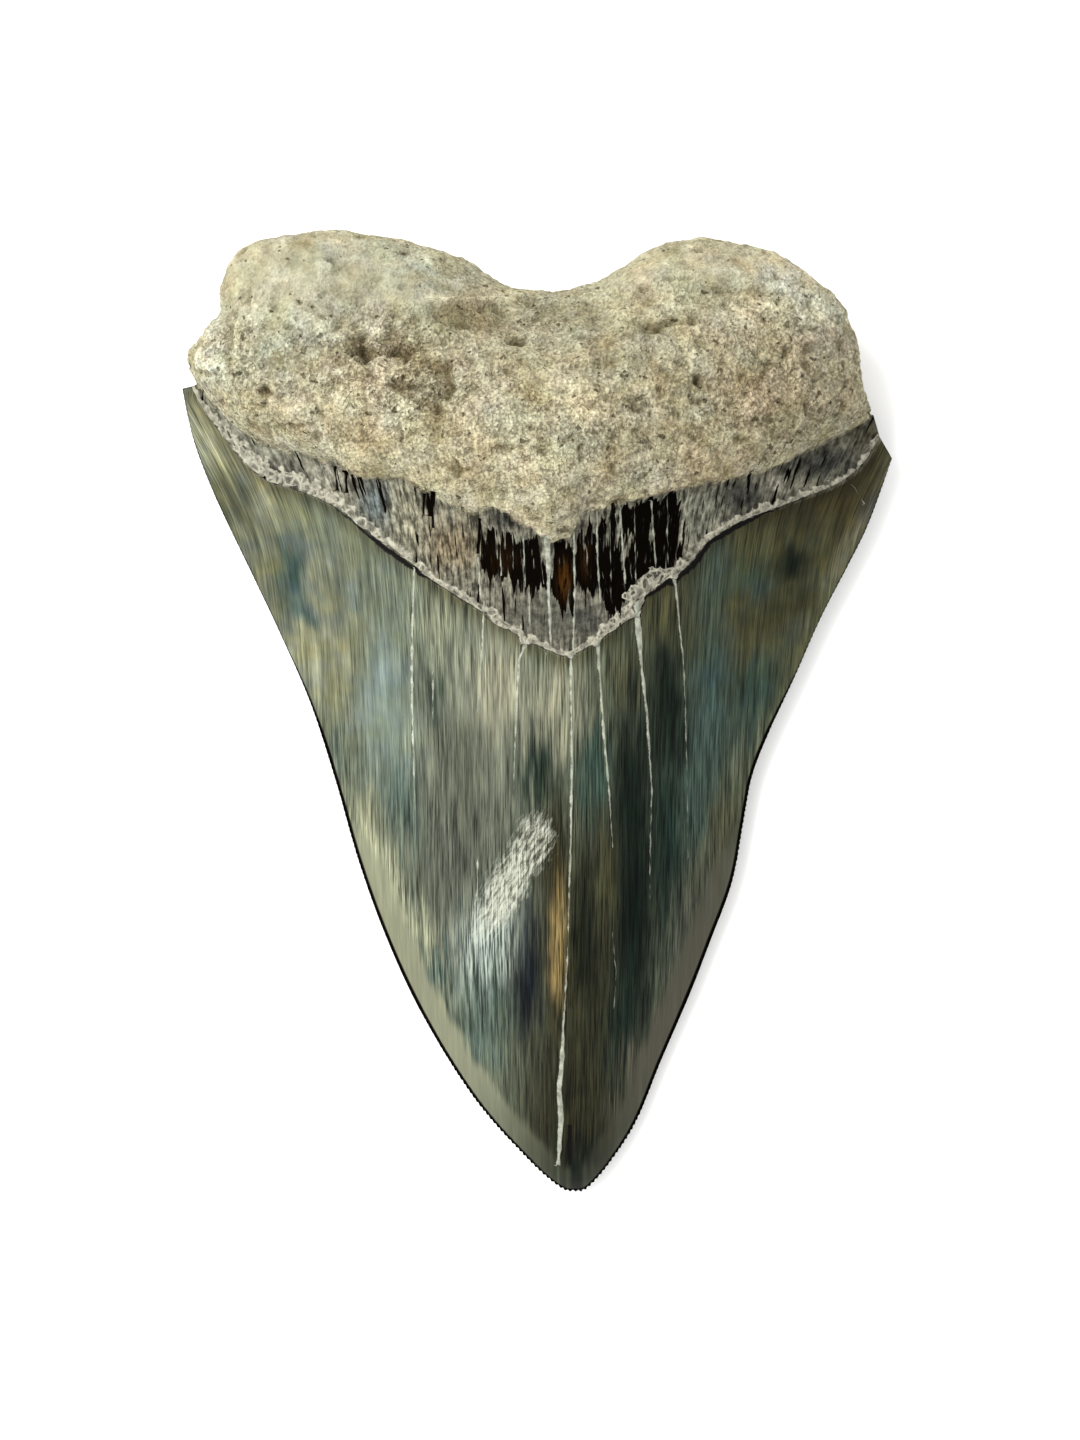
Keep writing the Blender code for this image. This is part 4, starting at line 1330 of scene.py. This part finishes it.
def enamel_colour(surface):
    """Colour of the enamel: cloudy stains, streaks, the shade under its ledge and its margins."""
    strays = [
        mix(clear, cloudy, surface.cloudy) for clear, cloudy in zip(CLEAR_STRAYS, CLOUDY_STRAYS)
    ]
    colour = spread(surface, ENAMEL_STAINS, "grey green", strays)
    tints = surface.tints("clouds of the enamel", "warmth of the enamel")
    colour *= np.exp(surface.cloudy[:, None] * tints)
    colour *= np.exp(surface.drawn("tone of the enamel") - STREAKS_DARKEN)[:, None]
    under_ledge = bell(np.maximum(surface.enamel, 0.0), LEDGE_SHADE) * surface.skin.inner
    colour *= 1 - np.outer(under_ledge, LEDGE_TINT)
    by_drift, by_streaks = MARGIN_FRAYING
    inside = MARGIN - surface.edge + by_drift * surface.drift + by_streaks * surface.streaks
    margin = share_of(inside, MARGIN_EDGE) * rise_over(surface.down, *MARGIN_STAIN_BEGINS)
    margin *= mix(*MARGIN_STAIN, rise_over(surface.down, *MARGIN_STAIN_FADES))
    for side, tone in MARGIN_TONES.items():
        colour = mix(colour, linear(tone), (margin * (surface.skin.side == side))[:, None])
    return colour


def root_colour(surface, height):
    """Colour of the root's stone, with painted light on its heights and painted shade in its
    hollows.
    """
    colour = spread(surface, ROOT_STAINS, "sand", ROOT_STRAYS)
    colour *= np.exp(surface.tints("warmth of the root", "blush of the root"))
    colour *= np.array(ROOT_TINT)
    # Painted light and shade: the stone is painted paler on its heights and darker in its hollows
    shade = np.clip(ROOT_LEVEL + HOLLOW_SHADE * height, *ROOT_SHADES)
    return colour * shade[:, None] ** np.array(HOLLOW_TINT)


def stained(surface, height):
    """Colour of each point, from the colours of the three parts."""
    neck = spread(surface, NECK_STAINS, "ash", NECK_STRAYS)
    colour = mix(enamel_colour(surface), neck, share_of(-surface.enamel)[:, None])
    return mix(colour, root_colour(surface, height), share_of(surface.root)[:, None])


def shark_tooth():
    """The whole tooth: bare, then worked, then stained and given its material."""
    tooth = welded_sheets()
    mesh = tooth.data
    skin = skin_of(mesh)
    bare = skin.points() + np.array((*PLAN_SHIFT, 0.0))
    place(mesh, bare)
    surface = Surface(skin, bare, normals_of(mesh))
    height = relief(surface)
    worked = bare + surface.normals * height[:, None]
    worked[:, 2] = np.where(skin.inner, worked[:, 2], np.maximum(worked[:, 2], 0.0))
    place(mesh, worked)
    edge_line = EDGE_LINE * mix(EDGE_LINE_START, 1.0, saw_share(surface.down)) - surface.edge
    colour = np.column_stack((stained(surface, height), np.ones(len(bare))))
    write(mesh, "stain", "FLOAT_COLOR", colour)
    write(mesh, "lines", "FLOAT_VECTOR", surface.lines)
    write(mesh, "amber", "FLOAT", surface.sum_of(AMBER_PLATES))
    write(mesh, "grit", "FLOAT", surface.grit)
    for name, values in {
        "parts": (surface.root, surface.enamel, surface.plate),
        "crack": (surface.crack, surface.crack_width, surface.crust),
        "slot": (surface.slot, surface.slot_width, surface.shadow),
        "wear": (edge_line, scraped(surface), surface.lined),
    }.items():
        write(mesh, name, "FLOAT_VECTOR", np.column_stack(values))
    mesh.materials.clear()
    mesh.materials.append(fossil_finish())
    return tooth


class Recipe:
    """Nodes of a material or of the sky, added and joined by short calls."""

    def __init__(self, owner, shader="Principled BSDF"):
        owner.use_nodes = True
        self.owner, self.tree = owner, owner.node_tree
        self.shader = self.tree.nodes[shader]

    def join(self, node, socket, value):
        """Joins a socket of a node to another socket, or gives it a value."""
        if isinstance(value, bpy.types.NodeSocket):
            self.tree.links.new(value, node.inputs[socket])
        else:
            node.inputs[socket].default_value = value

    def set(self, socket, value):
        self.join(self.shader, socket, value)

    def node(self, kind, inputs, **settings):
        """A node with its settings, and with its sockets joined to others or given values."""
        node = self.tree.nodes.new(kind)
        for name, value in settings.items():
            setattr(node, name, value)
        for socket, value in inputs.items():
            self.join(node, socket, value)
        return node

    def math(self, operation, first, second=0.0, third=0.0, clamp=False):
        inputs = {0: first, 1: second, 2: third}
        return self.node("ShaderNodeMath", inputs, operation=operation, use_clamp=clamp).outputs[0]

    def plus(self, first, second):
        return self.math("ADD", first, second)

    def minus(self, first, second):
        return self.math("SUBTRACT", first, second)

    def times(self, first, second):
        return self.math("MULTIPLY", first, second)

    def times_plus(self, first, second, third):
        """The product of two values, plus a third."""
        return self.math("MULTIPLY_ADD", first, second, third)

    def blend(self, share, low, high, method="MIX"):
        """A colour between two others, or their product."""
        inputs = {0: share, 6: low, 7: high}
        return self.node("ShaderNodeMix", inputs, data_type="RGBA", blend_type=method).outputs[2]

    def tinted(self, colour, factor):
        return self.blend(1.0, colour, factor, "MULTIPLY")

    def noise(self, vector, scale, detail=2.0, roughness=0.5):
        inputs = {"Vector": vector, "Scale": scale, "Detail": detail, "Roughness": roughness}
        return self.node("ShaderNodeTexNoise", inputs).outputs

    def grain(self, vector, name):
        return self.noise(vector, *GRAINS[name])["Fac"]

    def drawn(self, lines, name):
        """A grain drawn out along the lines of the enamel."""
        across, along, *kind = DRAWN_GRAINS[name]
        return self.noise(self.stretched(lines, (across, along, 1.0)), 1.0, *kind)["Fac"]

    def moved(self, vector, other, operation):
        inputs = {0: vector, 1: other}
        return self.node("ShaderNodeVectorMath", inputs, operation=operation).outputs[0]

    def stretched(self, vector, factors):
        return self.moved(vector, factors, "MULTIPLY")

    def cells(self, place, kind, output="Distance", **settings):
        """Distances in a pattern of cells, which are swirled out of line."""
        swirl_scale, reach, scale = kind
        swirl = self.stretched(self.noise(place, swirl_scale, 1.0)["Color"], (reach,) * 3)
        inputs = {"Vector": self.moved(place, swirl, "ADD"), "Scale": scale}
        return self.node("ShaderNodeTexVoronoi", inputs, **settings).outputs[output]

    def attribute(self, name, output="Fac"):
        return self.node("ShaderNodeAttribute", {}, attribute_name=name).outputs[output]

    def split(self, vector):
        """The three values of a vector."""
        return self.node("ShaderNodeSeparateXYZ", {0: vector}).outputs

    def range(self, value, *levels):
        """Turns a value between two levels into one between 0 and 1, or between two others."""
        inputs = {0: value, **dict(enumerate(levels, 1))}
        return self.node("ShaderNodeMapRange", inputs).outputs[0]

    def band(self, value, name):
        return self.range(value, *BANDS[name])

    def mix(self, share, low, high):
        """A value between two others."""
        return self.node("ShaderNodeMix", {0: share, 2: low, 3: high}).outputs[0]

    def ramp(self, value, stops):
        """Colour between stops, each a place and a linear colour."""
        node = self.node("ShaderNodeValToRGB", {0: value})
        elements = node.color_ramp.elements
        while len(elements) < len(stops):
            elements.new(1.0)
        for element, (position, colour) in zip(elements, stops):
            element.position = position
            element.color = (*colour, 1.0)
        return node.outputs[0]

    def inside(self, line, half_width, wobble):
        """How far inside a wobbling line a point lies, from its offset and half width."""
        return self.minus(half_width, self.math("ABSOLUTE", self.plus(line, wobble)))


def paint(tone):
    return (*linear(tone), 1.0)


def root_finish(recipe, stain, place, grit):
    """Colour and height of the sandy stone of the root."""
    fine, clumps = recipe.grain(place, "grains"), recipe.grain(place, "clumps")
    tone = recipe.times_plus(recipe.band(fine, "tone of the grains"), grit, 1.0)
    tone = recipe.times(tone, recipe.band(clumps, "tone of the clumps"))
    drifts = recipe.ramp(recipe.grain(place, "drifts"), DRIFT_TINTS)
    colour = recipe.tinted(recipe.tinted(stain, tone), drifts)
    specks = recipe.band(recipe.grain(place, "specks"), "specks")
    specks = recipe.times(specks, recipe.times(grit, SPECK_STRENGTH))
    colour = recipe.blend(specks, colour, paint("dark sand"))
    pores = recipe.band(recipe.cells(place, PORE_CELLS), "pores")
    pores = recipe.times(pores, recipe.band(clumps, "pores between clumps"))
    pores = recipe.times(pores, grit)
    colour = recipe.blend(recipe.times(pores, PORE_STRENGTH), colour, paint("dark sand"))
    solid = recipe.times(recipe.grain(place, "holes"), -1.0)
    holes = recipe.band(recipe.times_plus(grit, HOLES_BY_GRIT, solid), "holes")
    colour = recipe.blend(recipe.times(holes, HOLE_STRENGTH), colour, paint("brown olive"))
    height = recipe.times_plus(fine, GRAIN_HEIGHT, recipe.times(clumps, CLUMP_HEIGHT))
    return colour, recipe.times_plus(recipe.plus(pores, holes), PORE_HEIGHT, height)


def enamel_finish(recipe, stain, lines, lined, scrape):
    """Colour, roughness and height of the enamel, drawn out in fine upright lines."""
    fine, broad = recipe.drawn(lines, "fine lines"), recipe.drawn(lines, "broad lines")
    streak = recipe.times_plus(fine, FINE_SHARE, recipe.times(broad, BROAD_SHARE))
    streak = recipe.times_plus(recipe.minus(streak, GRAIN_MIDDLE), lined, GRAIN_MIDDLE)
    colour = recipe.tinted(stain, recipe.ramp(streak, LINE_TINTS))
    hairs = recipe.band(recipe.drawn(lines, "dark hairs"), "tone of the hairs")
    lined = recipe.band(lined, "lined for hairs")
    colour = recipe.blend(lined, colour, recipe.tinted(colour, hairs))
    turn = {"Vector": lines, "Rotation": (0.0, 0.0, SCRAPE_TURN), "Scale": SCRATCH_SIZE}
    turned = recipe.node("ShaderNodeMapping", turn, vector_type="TEXTURE").outputs[0]
    scratches = recipe.grain(turned, "scratches")
    scraped = recipe.band(recipe.times_plus(scratches, SCRATCH_SHARE, scrape), "scraped")
    scraped = recipe.times(scraped, recipe.band(scrape, "edge of the scrape"))
    scraped = recipe.times(scraped, recipe.band(fine, "scraped between lines"))
    head = recipe.band(recipe.split(lines)[1], "head of the scrape")
    # The scrape's pale chalk is its own worn colour with a painted highlight in it
    chalky = recipe.times_plus(
        recipe.minus(fine, GRAIN_MIDDLE), CHALK_BY_LINES, recipe.plus(scratches, head)
    )
    chalk = recipe.ramp(chalky, [(position, linear(tone)) for position, tone in CHALK_TONES])
    colour = recipe.blend(scraped, colour, chalk)
    rough = recipe.band(streak, "roughness of the enamel")
    return colour, rough, recipe.times(fine, LINE_HEIGHT)


def neck_finish(recipe, stain, lines, lined, place, plate, amber, crust, crumbs):
    """Colour and height of the neck, with its dark plates and its pale crust."""
    slits = recipe.drawn(lines, "neck slits")
    tone = recipe.times_plus(recipe.band(slits, "tone of the slits"), lined, NECK_TONE)
    tone = recipe.times(tone, recipe.band(crumbs, "tone of the crumbs"))
    colour = recipe.tinted(stain, tone)
    shine = recipe.drawn(lines, "plate shine")
    glow = recipe.times(amber, recipe.band(shine, "glow"))
    plates = recipe.blend(glow, paint("black brown"), paint("amber"))
    plates = recipe.blend(recipe.band(shine, "shine"), plates, paint("charcoal"))
    spires = recipe.minus(recipe.drawn(lines, "plate spires"), GRAIN_MIDDLE)
    spiked = recipe.times_plus(spires, SPIRE_LENGTH, plate)
    colour = recipe.blend(recipe.band(spiked, "edge of the plates"), colour, plates)
    crumbly = recipe.times_plus(crumbs, CRUST_BY_CRUMBS, recipe.minus(crust, CRUST_START))
    crusted = recipe.band(crumbly, "edge of the crust")
    lace = recipe.cells(place, LACE_CELLS, feature="DISTANCE_TO_EDGE")
    holes = recipe.band(recipe.times_plus(crumbs, HOLES_BY_CRUMBS, lace), "holes of the lace")
    holes = recipe.times(holes, LACE_STRENGTH)
    holes = recipe.times(holes, recipe.band(crust, "lace inside the crust"))
    crusted = recipe.times(crusted, recipe.minus(1.0, holes))
    pale = recipe.tinted(paint("crust"), recipe.band(crumbs, "tone of the crust"))
    height = recipe.times_plus(slits, SLIT_HEIGHT, recipe.times(crumbs, CRUMB_HEIGHT))
    return recipe.blend(crusted, colour, pale), height


def fossil_finish():
    """Material of the whole tooth, which tells its parts apart by the mesh's attributes."""
    recipe = Recipe(bpy.data.materials.new("fossil tooth"))
    stain, lines = recipe.attribute("stain", "Color"), recipe.attribute("lines", "Vector")
    place = recipe.node("ShaderNodeTexCoord", {}).outputs["Object"]
    (root, enamel, plate), (crack, crack_width, crust), (slot, slot_width, shadow), wear = (
        recipe.split(recipe.attribute(name, "Vector"))
        for name in ("parts", "crack", "slot", "wear")
    )
    edge_line, scrape, lined = wear
    crumbs = recipe.grain(place, "crumbs")
    stray = recipe.times_plus(crumbs, *STRAY)

    stone, stone_height = root_finish(recipe, stain, place, recipe.attribute("grit"))
    gloss, gloss_rough, gloss_height = enamel_finish(recipe, stain, lines, lined, scrape)
    amber = recipe.attribute("amber")
    neck, neck_height = neck_finish(
        recipe, stain, lines, lined, place, plate, amber, crust, crumbs
    )

    frayed = recipe.times_plus(recipe.grain(place, "fraying"), *FRAYING)
    root = recipe.band(recipe.plus(recipe.plus(root, stray), frayed), "edge of the root")
    ledge = recipe.plus(enamel, recipe.times(stray, LEDGE_STRAY))
    enamel = recipe.band(ledge, "edge of the enamel")
    colour = recipe.blend(enamel, recipe.blend(root, neck, stone), gloss)
    # Painted shadow: below the crust's edge the groove is painted black, wider where its shadow is
    # darker
    groove = recipe.times_plus(shadow, GROOVE_BY_SHADOW, recipe.times(ledge, -1.0))
    groove = recipe.times(recipe.band(groove, "groove"), enamel)
    # Dark line of the saw teeth: the edges' own dark colour with painted shadow in it
    edge_line = recipe.band(edge_line, "edge line")
    wobble = recipe.times(stray, LINE_WOBBLE)
    # Painted shade: the insides of the slots are painted black
    slot = recipe.band(recipe.inside(slot, slot_width, wobble), "slot")
    # Painted shade and shadow: the groove under the crust, the slots and partly the saw teeth's
    # line
    dark = recipe.math("MAXIMUM", recipe.math("MAXIMUM", groove, edge_line), slot)
    colour = recipe.blend(dark, colour, paint("black brown"))
    crack = recipe.minus(recipe.inside(crack, crack_width, wobble), CRACK_START)
    filling = recipe.tinted(paint("chalk"), recipe.band(crumbs, "tone of the filling"))

    height = recipe.mix(enamel, recipe.mix(root, neck_height, stone_height), gloss_height)
    bump = recipe.node("ShaderNodeBump", {"Strength": 1.0, "Distance": 1.0, "Height": height})
    coat = recipe.math("SUBTRACT", enamel, edge_line, clamp=True)
    for socket, value in {
        "Base Color": recipe.blend(recipe.band(crack, "filled crack"), colour, filling),
        "Roughness": recipe.mix(enamel, recipe.mix(root, *STONE_ROUGHNESS), gloss_rough),
        "Metallic": 0.0,
        "Specular IOR Level": 0.0,
        "Coat Weight": recipe.times(coat, COAT_WEIGHT),
        "Coat Roughness": COAT_ROUGHNESS,
        "Normal": bump.outputs["Normal"],
    }.items():
        recipe.set(socket, value)
    return recipe.owner


def sheet_of_paper():
    select_nothing()
    bpy.ops.mesh.primitive_plane_add(size=FLOOR_SIZE)
    sheet = bpy.context.object
    sheet.name = "floor"
    recipe = Recipe(bpy.data.materials.new("pale paper"))
    recipe.set("Base Color", PAPER)
    recipe.set("Roughness", PAPER_ROUGHNESS)
    sheet.data.materials.append(recipe.owner)


def daylight():
    """A soft sky, brighter to the left and dark straight overhead, and a wide window."""
    sky = Recipe(bpy.data.worlds.new("soft daylight"), "Background")
    sideways, _, overhead = sky.split(sky.node("ShaderNodeTexCoord", {}).outputs["Generated"])
    strength = sky.times(sky.range(overhead, *OVERHEAD_DARK), sky.range(sideways, *SIDEWAYS_FALL))
    sky.set("Strength", strength)
    sky.set("Color", WHITE)
    bpy.context.scene.world = sky.owner
    light = bpy.data.lights.new("window", "AREA")
    light.shape = "DISK"
    light.size = WINDOW_SIZE
    light.energy = WINDOW_POWER
    window = bpy.data.objects.new("window", light)
    window.location = WINDOW_PLACE
    window.rotation_euler = (-Vector(WINDOW_PLACE)).to_track_quat("-Z", "Y").to_euler()
    bpy.context.collection.objects.link(window)


def camera():
    lens = bpy.data.cameras.new("camera")
    lens.sensor_width = SENSOR
    distance = CAMERA_HEIGHT - SCALE_HEIGHT
    lens.lens = SENSOR * distance / (FRAME_HEIGHT * MM_PER_PIXEL)
    lens.clip_start = CLIP_START
    lens.dof.use_dof = False
    eye = bpy.data.objects.new("camera", lens)
    eye.location = (CAMERA_PLACE[0] * MM, CAMERA_PLACE[1] * MM, CAMERA_HEIGHT * MM)
    bpy.context.collection.objects.link(eye)
    bpy.context.scene.camera = eye


def bare_middle():
    """Plan middle of the bare surface's box, from the outline alone."""
    rims = [CUTTING, *ROOT_SIDE.values(), *BASAL_EDGE.values()]
    spots = np.concatenate([path.points for path in rims])
    return (spots.min(axis=0) + spots.max(axis=0)) / 2


box_low, box_high = (np.array(corner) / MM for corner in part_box("tooth"))
PLAN_SHIFT = (box_low + box_high)[:2] / 2 - bare_middle()

tooth = shark_tooth()
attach(tooth, "root")
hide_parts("tooth")
sheet_of_paper()
daylight()
camera()
bpy.context.scene.view_settings.view_transform = "Standard"
